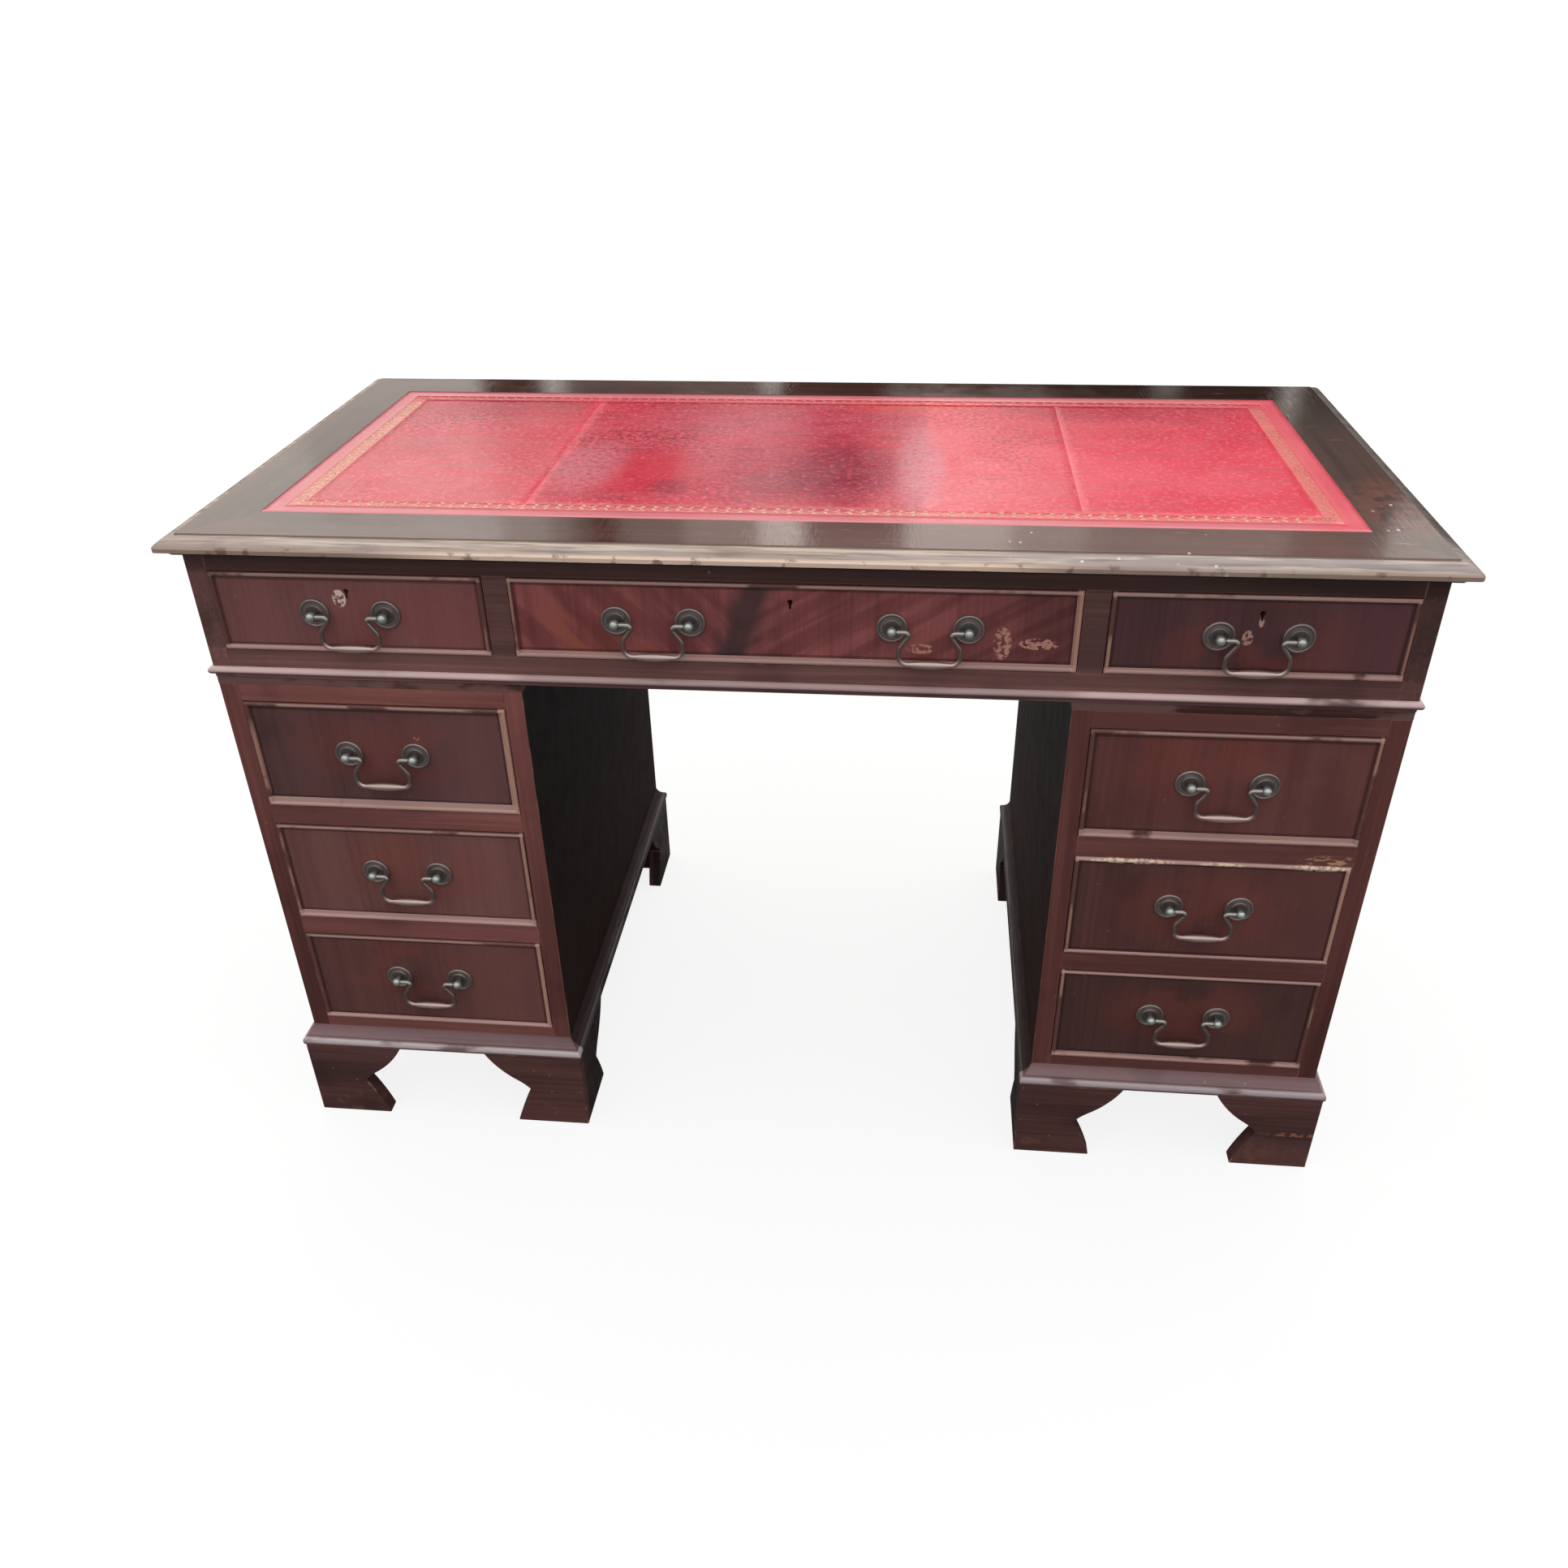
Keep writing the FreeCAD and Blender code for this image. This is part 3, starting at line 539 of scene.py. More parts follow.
plinth = bmesh.new()
for side in (-1, 1):
    near_x, far_x = mirrored(side, kneehole_x - plinth_proud, pedestal_x + plinth_proud)
    add_moulding(plinth, (near_x, plinth_low.y), (far_x, plinth_high.y), plinth_section, plain_run)
made_piece("plinth_moulding", plinth, [wood.close()], ["plinth_mouldings"])

# Pedestal sides and rails. Solid mahogany sides with the front rails tenoned between them, flush at the
# front. Drawers have been dragged over the rails for years, so their arrises are rubbed and chipped.

side_thickness = 0.020
rail_depth = 0.045
carcass_arris = 0.0007
rail_heights = [(0.108, 0.146), (0.2725, 0.2965), (0.423, 0.447), (0.5735, 0.593)]
side_dark = paint(116, 71, 67)
side_light = paint(148, 92, 86)
shaded_side = paint(50, 27, 26)
lit_stile = paint(158, 100, 93)
side_chip = paint(150, 104, 92)
bare_side = paint(150, 98, 82)
kneehole_painted_light = paint(66, 43, 40)

wood = polished("pedestal_mahogany", "z", side_dark, side_light, roughness=0.5, shine=0.12)
# Painted shade: darker to the right, low on the left pedestal, and on the far left and far right sides
wood.lay(shaded_side, wood.rise("x", -0.25, 0.35, 0.40))
low_down = wood.fall("z", 0.22, 0.50, 0.50)
wood.lay(shaded_side, wood.fall("x", -0.1, 0.1), low_down)
wood.lay(shaded_side, wood.fall("x", -0.50, -0.40, 0.30))
right_share = wood.grade("z", 0.16, 0.36, 0.55, 0.24)
wood.lay(shaded_side, wood.rise("x", 0.40, 0.50), right_share)
# Painted light on the upper inner stile of the left pedestal
inner_stile = wood.band("x", -0.30, -0.26, 0.02)
wood.lay(lit_stile, inner_stile, wood.rise("z", 0.44, 0.50), 0.25)
# Painted shade over the kneehole faces, lifted by painted light low down and on the right
wood.lay(kneehole_painted_shade, wood.kneehole())
low_inner = wood.fall("z", 0.14, 0.55, 0.42)
right_inner = wood.rise("x", -0.1, 0.1, 0.22)
lit_inner = wood.reckon("ADD", low_inner, right_inner)
wood.lay(kneehole_painted_light, wood.kneehole(), lit_inner)
wood.lay(side_chip, wood.chips(90.0, 0.06, 0.16), 0.6)
side_edge = rubbed_edge("rubbed_side_edge", "z", side_dark, side_light, bare_side, 0.55)
side_skins = [wood.close(roughness_swing=0.03, bump=0.01), side_edge]

rail_dark = paint(121, 74, 70)
rail_light = paint(154, 96, 90)
torn_wood = paint(196, 150, 118)
rail_chip = paint(150, 104, 90)
bare_rail = paint(156, 102, 84)
tear = (0.548, 0.427, 0.042, 0.010)
wood = polished("rail_mahogany", "x", rail_dark, rail_light)
# Painted shade: darker to the right, at the far left and on the lower rails
wood.lay(shaded_side, wood.rise("x", -0.25, 0.35, 0.30))
wood.lay(shaded_side, wood.fall("x", -0.50, -0.38, 0.20))
low_share = wood.grade("x", -0.1, 0.1, 0.26, 0.46)
wood.lay(shaded_side, wood.fall("z", 0.20, 0.42), low_share)
ragged = wood.rubbed(210.0, 0.50, (0.4, 1.0, 1.2))
wood.lay(torn_wood, wood.front_spot(*tear), ragged, 0.85)
wood.lay(rail_chip, wood.chips(90.0, 0.05, 0.16), 0.6)
rail_edge = rubbed_edge("rubbed_rail_edge", "x", side_dark, side_light, bare_rail, 0.53)
rail_skins = [wood.close(), rail_edge]

sides = bmesh.new()
rails = bmesh.new()
for side in (-1, 1):
    for inner in (kneehole_x, pedestal_x - side_thickness):
        near_x, far_x = mirrored(side, inner, inner + side_thickness)
        add_board(sides, (near_x, *sides_low.yz), (far_x, *sides_high.yz))
    near_x, far_x = mirrored(side, kneehole_x + side_thickness, pedestal_x - side_thickness)
    for low_z, high_z in rail_heights:
        add_board(rails, (near_x, front_y, low_z), (far_x, front_y + rail_depth, high_z))
made_piece("pedestal_side_boards", sides, side_skins, ["pedestal_sides"], carcass_arris)
made_piece("pedestal_rails", rails, rail_skins, ["pedestal_front_rails"], carcass_arris)

# Pedestal backs, tops and bottoms. Thin mahogany boards let in between the sides; the front edge of the
# top board shows as a pale rubbed strip just below the frieze.

board_dark = paint(64, 38, 36)
board_light = paint(94, 58, 54)
worn_strip = paint(140, 108, 104)
back_dark = paint(62, 38, 35)
back_light = paint(92, 58, 52)
back_chip = paint(132, 96, 82)


def dress(node, material):
    """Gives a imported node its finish."""
    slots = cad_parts[node].data.materials
    slots.clear()
    slots.append(material)


wood = polished("pedestal_board_mahogany", "x", board_dark, board_light)
shelf_edge = wood.fall("y", front_y + face_gap, front_y + face_gap + face_soft)
wood.lay(worn_strip, shelf_edge, wood.rubbed(30.0, 0.42, (0.4, 1.0, 1.0)), 0.5)
dress("pedestal_boards", wood.close())
wood = polished("back_panel_mahogany", "z", back_dark, back_light, roughness=0.46, shine=0.25)
wood.lay(back_chip, wood.chips(36.0, 0.06, 0.16))
back_material = wood.close()
dress("pedestal_backs", back_material)

# Runners, stops, dividers and dowels. Unpolished pale timber inside the carcass, glued and nailed in,
# dusty and browned by age. The drawers slide on it.

lining_dark = paint(120, 84, 56)
lining_light = paint(172, 130, 92)
lining_grime = paint(92, 66, 48)


def lining_timber(name, axis):
    """Dry secondary timber: open grain, grubby, with no polish."""
    made = Finish(name, roughness=0.72, shine=0.2)
    made.colour = made.grain(axis, lining_dark, lining_light, 0.02)
    made.lay(lining_grime, made.rubbed(9.0, 0.50), 0.5)
    return made.close(roughness_swing=0.06, bump=0.15)


lining_material = lining_timber("runner_timber", "y")
for node in ("drawer_runners", "frieze_dividers", "locating_dowels"):
    dress(node, lining_material)

# Frieze. Mahogany ends, back, two long front rails and the muntins between the drawers make the box that
# the top is screwed to. The top rail is mortised for the lock bolts, and the lower one takes the knocks.

muntin_width = 0.024
muntin_inner_x = 0.2715
frieze_floor = 0.6325
frieze_rail = 0.7165
end_thickness = 0.020
mortise_fit = 0.001
mortise_depth = 0.008
frieze_low, frieze_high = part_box("frieze_ends")
frieze_inner_x = frieze_high.x - end_thickness
rail_back_y = frieze_low.y + rail_depth
bolts = [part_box(f"frieze_{place}_drawer_lock_bolt") for place in ("left", "centre", "right")]
frieze_dark = paint(110, 76, 73)
frieze_light = paint(144, 100, 96)
frieze_right_shade = paint(46, 28, 27)
frieze_low_shade = paint(40, 28, 27)
frieze_top_shade = paint(30, 20, 18)
frieze_chip = paint(148, 112, 102)
bare_frieze = paint(140, 100, 88)


def frieze_wood(name, axis):
    """The frieze's mahogany: painted shade to the right and above its foot, painted shadow under the top.
    """
    made = polished(name, axis, frieze_dark, frieze_light)
    made.lay(frieze_right_shade, made.rise("x", 0.31, 0.45, 0.44))
    made.lay(frieze_low_shade, made.rise("z", 0.630, 0.638, 0.42))
    made.lay(frieze_top_shade, made.rise("z", 0.712, 0.720, 0.50))
    made.lay(frieze_chip, made.chips(80.0, 0.05, 0.15), 0.6)
    return made.close()


def add_mortised_rail(shape, low, high):
    """A rail with blind mortises for the lock bolts cut up into its underside."""
    mortise_ends = [(near.x - mortise_fit, far.x + mortise_fit) for near, far in bolts]
    mortise_y = (bolts[0][0].y - mortise_fit, bolts[0][1].y + mortise_fit)
    lines = [
        sorted({low[0], high[0]}.union(*mortise_ends)),
        [low[1], *mortise_y, high[1]],
        [low[2], low[2] + mortise_depth, high[2]],
    ]
    corners = {}

    def solid(cell):
        if any(step < 0 or step > len(row) - 2 for step, row in zip(cell, lines)):
            return False
        ends = (lines[0][cell[0]], lines[0][cell[0] + 1])
        return not (ends in mortise_ends and cell[1] == 1 and cell[2] == 0)

    def corner(place):
        if place not in corners:
            corners[place] = shape.verts.new([row[step] for row, step in zip(lines, place)])
        return corners[place]

    steps = [range(len(row) - 1) for row in lines]
    for cell, axis, side in itertools.product(itertools.product(*steps), range(3), (0, 1)):
        beyond = list(cell)
        beyond[axis] += 2 * side - 1
        if not solid(cell) or solid(beyond):
            continue
        face = []
        for first, second in ((0, 0), (1, 0), (1, 1), (0, 1)):
            place = list(cell)
            place[axis] += side
            place[(axis + 1) % 3] += first
            place[(axis + 2) % 3] += second
            face.append(corner(tuple(place)))
        shape.faces.new(face)


frieze_edge = rubbed_edge("rubbed_frieze_edge", "x", frieze_dark, frieze_light, bare_frieze, 0.56)
end_skins = [frieze_wood("frieze_end_mahogany", "y"), frieze_edge]
frieze_skins = [frieze_wood("frieze_mahogany", "x"), frieze_edge]
ends = bmesh.new()
front_rails = bmesh.new()
lower_high = (frieze_inner_x, rail_back_y, frieze_floor)
add_board(front_rails, (-frieze_inner_x, frieze_low.y, frieze_low.z), lower_high)
upper_high = (frieze_inner_x, rail_back_y, frieze_high.z)
add_mortised_rail(front_rails, (-frieze_inner_x, frieze_low.y, frieze_rail), upper_high)
for side in (-1, 1):
    near_x, far_x = mirrored(side, frieze_inner_x, frieze_high.x)
    add_board(ends, (near_x, *frieze_low.yz), (far_x, *frieze_high.yz))
    near_x, far_x = mirrored(side, muntin_inner_x, muntin_inner_x + muntin_width)
    add_board(front_rails, (near_x, frieze_low.y, frieze_floor), (far_x, rail_back_y, frieze_rail))
made_piece("frieze_end_boards", ends, end_skins, ["frieze_ends"], carcass_arris)
made_piece("frieze_rails", front_rails, frieze_skins, ["frieze_front_rails"], carcass_arris)
dress("frieze_back", back_material)

# Frieze bead. A slim half-round strip pinned along the foot of the frieze on all four sides. It stands
# proud, so its crest is polished almost white.

bead_low, bead_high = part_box("frieze_bead")
bead_proud = frieze_low.y - bead_low.y
bead_middle = (bead_low.z + bead_high.z) / 2
bead_half = (bead_high.z - bead_low.z) / 2
bead_steps = 12
bead_section = []
for step in range(bead_steps + 1):
    angle = math.pi * (0.5 - step / bead_steps)
    bead_section.append((bead_proud * (1 - math.cos(angle)), bead_middle + bead_half * math.sin(angle)))
strip_dark = paint(100, 70, 70)
strip_light = paint(126, 94, 94)
worn_bead = paint(222, 192, 190)
wood = polished("bead_mahogany", "x", strip_dark, strip_light, roughness=0.4, shine=0.45)
crest = wood.rise("z", bead_middle - 0.002, bead_middle + 0.001)
over_kneehole = wood.all_of(wood.band("x", -0.26, 0.26, 0.03), 0.42)
worn = wood.rubbed(24.0, 0.32, (0.3, 0.3, 1.0))
wood.lay(worn_bead, crest, worn, wood.rest_of(over_kneehole), 0.9)
bead = bmesh.new()
add_moulding(bead, bead_low, bead_high, bead_section, plain_run)
made_piece("frieze_bead_strip", bead, [wood.close()], ["frieze_bead"])

# Drawer boxes. Sides dovetailed into the front, a back, and a thin bottom slid in from behind, in the same
# dry timber as the runners.

drawer_names = ["frieze_left_drawer", "frieze_centre_drawer", "frieze_right_drawer"]
for side in ("left", "right"):
    drawer_names += [f"{side}_{level}_drawer" for level in ("lower", "middle", "upper")]
box_material = lining_timber("drawer_box_timber", "y")
for drawer in drawer_names:
    dress(f"{drawer}_box", box_material)

# Drawer fronts. Figured mahogany veneer on a mahogany board, with a cockbead let in all round that stands
# proud of the face. Hands and keys have rubbed the beads to bare wood and chipped the veneer in places. The
# beads also carry painted highlight where they are lit, most along their feet.

cockbead_width = 0.0045
cockbead_proud = 0.0024
cockbead_narrowing = 0.0016
veneer_depth = 0.0015
inner_line_width = 0.0022
inner_line_soft = 0.0008
bead_sharp = 0.0001
crest_soft = 0.0004
core_soft = 0.0002
paler_factor = 1.25
red_half_x = 0.11
red_half_z = 0.06
flame_offset = -0.060
flame_lean = 0.35
flame_slant = 1.3
flame_size = (34.0, 7.0, 3.0)
flame_glow = (-0.16, 0.66, 0.12, 0.05)
flame_dark = paint(84, 36, 38)
flame_light = paint(150, 82, 66)
flame_streak = paint(66, 50, 52)
painted_flame_shade = paint(56, 32, 34)
red_polish = paint(140, 66, 54)
veneer_chip = paint(158, 108, 92)
core_wood = paint(124, 80, 60)
bead_dark = paint(104, 68, 63)
bead_tan = paint(196, 152, 132)
bead_pink = paint(196, 158, 150)
inner_dark_line = paint(34, 20, 20)

# Each front: its two veneer colours, how far it pales to the right, where its polish is reddest, how worn
# its bead is at the left, right, foot and head, partly as painted highlight and most at the foot, how far
# painted highlight reaches onto the veneer beside each, and where it has flecks, with their colour
front_looks = {
    "frieze_left_drawer": {
        "veneer": ((114, 73, 72), (130, 83, 81)),
        "lift": 0.22,
        "red": (-0.36, 0.66),
        "bead": (0.10, 0.15, 0.95, 0.50),
        "lit_reach": (0.0, 0.0, 0.0006, 0.0008),
        "flecks": [(-0.4405, 0.690, 0.008, 0.011)],
        "fleck": (234, 206, 190),
    },
    "frieze_centre_drawer": {
        "veneer": ((131, 72, 72), (158, 90, 89)),
        "lift": 0.0,
        "red": (-0.20, 0.66),
        "bead": (0.25, 0.80, 0.70, 0.50),
        "lit_reach": (0.0, 0.0014, 0.0032, 0.0),
        "flecks": [
            (0.200, 0.661, 0.010, 0.020),
            (0.234, 0.661, 0.022, 0.007),
            (0.124, 0.653, 0.016, 0.006),
        ],
        "fleck": (196, 142, 126),
    },
    "frieze_right_drawer": {
        "veneer": ((79, 50, 53), (93, 58, 61)),
        "lift": 0.30,
        "red": (0.43, 0.66),
        "bead": (0.45, 0.15, 0.70, 0.75),
        "lit_reach": (0.0, 0.0, 0.0020, 0.0),
        "flecks": [(0.4325, 0.689, 0.003, 0.006), (0.4225, 0.673, 0.006, 0.009)],
        "fleck": (190, 146, 134),
    },
    "left_lower_drawer": {
        "veneer": ((90, 58, 56), (106, 67, 63)),
        "lift": 0.50,
        "red": (-0.46, 0.235),
        "bead": (0.30, 0.80, 0.90, 0.45),
        "lit_reach": (0.0, 0.0006, 0.0012, 0.0),
    },
    "left_middle_drawer": {
        "veneer": ((107, 69, 65), (123, 81, 77)),
        "lift": 0.25,
        "red": (-0.42, 0.37),
        "bead": (0.30, 0.60, 1.00, 0.50),
        "lit_reach": (0.0, 0.0, 0.0045, 0.0),
    },
    "left_upper_drawer": {
        "veneer": ((85, 57, 58), (101, 67, 67)),
        "lift": 0.50,
        "red": (-0.43, 0.52),
        "bead": (0.50, 0.90, 1.00, 0.50),
        "lit_reach": (0.0010, 0.0022, 0.0060, 0.0012),
        "flecks": [(-0.390, 0.536, 0.004, 0.003)],
        "fleck": (196, 120, 104),
    },
    "right_lower_drawer": {
        "veneer": ((73, 48, 46), (85, 55, 52)),
        "lift": 0.15,
        "red": (0.43, 0.22),
        "bead": (0.40, 0.15, 0.65, 0.60),
        "lit_reach": (0.0, 0.0, 0.0030, 0.0),
    },
    "right_middle_drawer": {
        "veneer": ((84, 53, 51), (100, 62, 59)),
        "lift": 0.33,
        "red": (0.43, 0.36),
        "bead": (0.30, 0.80, 0.70, 0.95),
        "lit_reach": (0.0, 0.0, 0.0, 0.0),
        "flecks": [
            (0.535, 0.4195, 0.040, 0.004),
            (0.350, 0.4195, 0.055, 0.004),
            (0.44, 0.4195, 0.03, 0.003),
        ],
        "fleck": (240, 212, 186),
    },
    "right_upper_drawer": {
        "veneer": ((95, 57, 55), (113, 68, 64)),
        "lift": 0.25,
        "red": (0.40, 0.54),
        "bead": (0.10, 0.40, 0.75, 0.50),
        "lit_reach": (0.0, 0.0, 0.0050, 0.0012),
    },
}


def add_flame(made, low, high):
    """The centre front's matched flame figure, its dark join streak and painted shade to the right."""
    join_x = (low.x + high.x) / 2 + flame_offset
    lean = made.all_of(made.apart(made.z, low.z), flame_lean)
    from_join = made.reckon("ABSOLUTE", made.apart(made.apart(made.x, join_x), lean))
    slant = made.apart(from_join, made.all_of(made.z, flame_slant))
    plume = made.put("CombineXYZ", {0: slant, 1: from_join, 2: made.z})[0]
    feather = made.cloud(made.stretched(plume, flame_size), 1.0, 3.0)
    made.lay(flame_dark, made.rise(feather, 0.42, 0.62), 0.45)
    made.lay(flame_light, made.fall(feather, 0.36, 0.48), made.front_spot(*flame_glow))
    wavering = made.reckon("ADD", from_join, made.all_of(made.haze(60.0, 3.0), 0.016))
    made.lay(flame_streak, made.fall(wavering, 0.014, 0.034, 0.85))
    # Painted shade over the right of the centre front
    made.lay(painted_flame_shade, made.rise("x", 0.12, 0.24, 0.48))


def add_cockbead(made, low, high, wear, lit_reaches):
    """The cockbead: bare where each side is worn, painted highlight where it is lit, and a dark line inside
    it.
    """
    from_sides = [
        made.apart(made.x, low.x),
        made.apart(high.x, made.x),
        made.apart(made.z, low.z),
        made.apart(high.z, made.z),
    ]
    inwards = from_sides[0]
    for distance in from_sides[1:]:
        inwards = made.reckon("MINIMUM", inwards, distance)
    # A dark line along the inside of the bead, beyond the lit reach
    for distance, lit_reach in zip(from_sides, lit_reaches):
        inside = cockbead_width + lit_reach
        made.lay(inner_dark_line, made.band(distance, inside, inside + inner_line_width, inner_line_soft), 0.5)
    made.lay(bead_dark, made.fall(inwards, cockbead_width - bead_sharp, cockbead_width + bead_sharp))
    # Pale crests: bare wood where rubbed, and painted highlight where a bead's top is lit, widened by the
    # lit reach
    bares = (bead_tan, bead_tan, bead_pink, bead_pink)
    for distance, worn, lit_reach, bare in zip(from_sides, wear, lit_reaches, bares):
        narrowed = cockbead_narrowing * (1 - worn)
        crest = made.band(distance, narrowed, cockbead_width + lit_reach - narrowed, crest_soft)
        ragged = made.rubbed(26.0, 0.58 - 0.38 * worn, (0.6, 1.0, 0.6))
        made.lay(bare, crest, ragged, 0.34 + 0.56 * worn)


def front_veneer(drawer, look):
    """The veneer of one drawer front, with its cockbead and its own knocks."""
    low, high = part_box(f"{drawer}_front")
    dark, light = look["veneer"]
    made = polished(f"{drawer}_veneer", "z", paint(*dark), paint(*light), roughness=0.34, shine=0.3)
    paler = paint(*[paler_factor * value for value in light])
    middle_x = (low.x + high.x) / 2
    made.lay(paler, made.rise("x", middle_x - 0.04, high.x - 0.03, look["lift"]))
    glow = made.front_spot(*look["red"], red_half_x, red_half_z)
    made.lay(red_polish, glow, made.rubbed(11.0, 0.40), 0.28)
    if drawer == "frieze_centre_drawer":
        add_flame(made, low, high)
    made.lay(veneer_chip, made.chips(110.0, 0.03, 0.14), 0.6)
    add_cockbead(made, low, high, look["bead"], look["lit_reach"])
    for place in look.get("flecks", ()):
        fleck = made.rise(made.front_spot(*place), 0.05, 0.4)
        made.lay(paint(*look["fleck"]), fleck, made.rubbed(240.0, 0.44), 0.9)
    veneer_y = low.y + cockbead_proud + veneer_depth
    made.lay(core_wood, made.rise("y", veneer_y, veneer_y + core_soft))
    return made.close(roughness_swing=0.08, bump=0.03)


for drawer, look in front_looks.items():
    dress(f"{drawer}_front", front_veneer(drawer, look))

# Drawer locks. Stamped brass boxes screwed behind the three frieze fronts, each with a bolt that the key
# throws up into the rail.

lock_yellow = paint(158, 124, 70)
lock_tarnish = paint(92, 72, 46)
lock_brass = Finish("lock_brass", roughness=0.42, shine=0.5, metallic=1.0)
lock_brass.begin(lock_yellow, lock_tarnish, lock_brass.rubbed(120.0, 0.48))
lock_material = lock_brass.close(roughness_swing=0.12)
for drawer in drawer_names[:3]:
    dress(f"{drawer}_lock_case", lock_material)
    dress(f"{drawer}_lock_bolt", lock_material)

# Swing handles. Turned brass roses and posts, cast swan-necked bails hung between them, all gone dark and
# greenish with age; only the grips are kept bright by hands. The round heads and the eyes of the bails
# carry painted highlights.

boss_y = front_y - 0.0034
collar_y = front_y - 0.0046
head_y = front_y - 0.0070
head_soft = 0.0010
fitting_dark = paint(134, 120, 117)
fitting_light = paint(154, 142, 139)
boss_dark = paint(84, 82, 82)
head_highlight = paint(186, 194, 188)
bail_dark = paint(124, 108, 103)
bail_light = paint(140, 124, 118)
grip_bright = paint(206, 180, 174)
eye_highlight = paint(190, 190, 186)

fitting = Finish("aged_brass_fittings", roughness=0.36, shine=0.5, metallic=0.8)
fitting.begin(fitting_dark, fitting_light, fitting.haze(90.0))
fitting.lay(boss_dark, fitting.band("y", collar_y - 0.0003, boss_y + 0.0004, 0.0002), 0.7)
# Painted highlight on the round heads
fitting.lay(head_highlight, fitting.fall("y", head_y - head_soft, head_y + head_soft, 0.9))
fitting_material = fitting.close(roughness_swing=0.05)

grip = Finish("aged_brass_bail", roughness=0.36, shine=0.5, metallic=0.85)
grip.begin(bail_dark, bail_light, grip.haze(80.0))
over_bail = grip.put("TexCoord")["Generated"]
up_bail = grip.put("SeparateXYZ", {0: over_bail})[2]
grip.lay(grip_bright, grip.fall(up_bail, 0.12, 0.30, 0.9))
# Painted highlight on the eyes of the bail
grip.lay(eye_highlight, grip.rise(up_bail, 0.86, 0.92, 0.6))
grip_material = grip.close(roughness_swing=0.05)

for drawer in drawer_names:
    dress(f"{drawer}_handle_fittings", fitting_material)
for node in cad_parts:
    if node.endswith("_bail"):
        dress(node, grip_material)

# Top board. A thick core with a polished mahogany border, its grain turning at the mitred corners, and a
# shallow recess for the leather. Sun and damp have left specks in the polish. Its back right and its right
# end carry painted dark reflection.

board_low, board_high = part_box("top_board")
mitre_soft = 0.0003
recess_low = 0.0005
recess_high = 0.0001
long_dark = paint(66, 43, 39)
long_light = paint(90, 61, 55)
cross_dark = paint(63, 42, 38)
cross_light = paint(86, 59, 52)
dull_border = paint(52, 34, 31)
red_border = paint(120, 62, 52)
border_dark_reflection = paint(28, 22, 20)
rubbed_red = paint(170, 92, 78)
pale_speck = paint(212, 194, 180)
border_scratch = paint(150, 124, 108)
recess_wood = paint(150, 130, 118)
reddened = (0.572, -0.150, 0.050, 0.110)
specked_end = (0.580, -0.190, 0.045, 0.090)

border = Finish("top_border_mahogany", roughness=0.065, shine=0.5)
long_grain = border.grain("x", long_dark, long_light)
cross_grain = border.grain("y", cross_dark, cross_light)
from_end = border.apart(board_high.x, border.reckon("ABSOLUTE", border.x))
from_edge = border.apart(board_high.y, border.reckon("ABSOLUTE", border.y))
at_end = border.rise(border.apart(from_edge, from_end), -mitre_soft, mitre_soft)
border.begin(long_grain, cross_grain, at_end)
border.lay(dull_border, border.rubbed(6.0, 0.52), 0.3)
right_half = border.all_of(border.rise("x", -0.25, 0.0), border.fall("x", 0.48, 0.54))
border.lay(red_border, border.fall("y", -0.215, -0.205), right_half, 0.28)
# Painted dark reflection on the back right and along the right end
back_right = border.all_of(border.rise("x", 0.15, 0.35), border.rise("y", 0.20, 0.23), 0.65)
shaded_end = border.all_of(border.rise("x", 0.53, 0.55), border.rise("y", -0.15, 0.25, 0.55))
border.lay(border_dark_reflection, border.reckon("MAXIMUM", back_right, shaded_end))
border.lay(rubbed_red, border.top_spot(*reddened), border.rubbed(70.0, 0.42), 0.22)
front_right = border.all_of(border.band("x", 0.23, 0.36, 0.05), border.fall("y", -0.24, -0.22))
specked = border.reckon("MAXIMUM", front_right, border.top_spot(*specked_end))
border.lay(pale_speck, border.chips(95.0, 0.30, 0.20, (1.0, 0.6, 1.0)), specked, 0.9)
border.lay(border_scratch, border.rubbed(60.0, 0.66, (0.4, 2.0, 1.0)), 0.4)
border.lay(recess_wood, border.fall("z", board_high.z - recess_low, board_high.z - recess_high))
dress("top_board", border.close(roughness_swing=0.02, bump=0.02))

# Top edge moulding. A thumb-moulded mahogany lipping, glued round the top in mitred lengths. Sleeves have
# bleached its upper curve, which is also lightened with painted sheen and greyed to the right with painted
# sky reflection. Its nose is knocked back to bare wood and chipped; its right end and the underside of its
# nose carry painted shade.

lipping_width = 0.018
lipping_step = 0.0015
lip_nose_up = 0.0095
lip_nose_down = 0.0135
thumb_bow = 0.0021
undercut_width = 0.013
undercut_bow = 0.0016
top_corner_radius = 0.005
lipping_run = 0.005
knock_depth = 0.0016
knock_reach = 0.006
knock_level = 0.35
knock_scale = 55.0
splinter_scale = 170.0
splinter_share = 0.5
bare_low = 0.0085
bare_high = 0.0060
under_soft = 0.0020
lip_low, lip_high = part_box("top_edge_moulding")
top_z = board_high.z
thumb_start = (lipping_width, top_z - lipping_step)
nose_foot = (0.0, top_z - lip_nose_down)
lip_section = [thumb_start]
lip_section += bowed(thumb_start, (0.0, top_z - lip_nose_up), -thumb_bow, steps=9)
lip_section.append(nose_foot)
lip_section += bowed(nose_foot, (undercut_width, board_low.z), undercut_bow, steps=6)
lip_section.append((lipping_width, board_low.z))


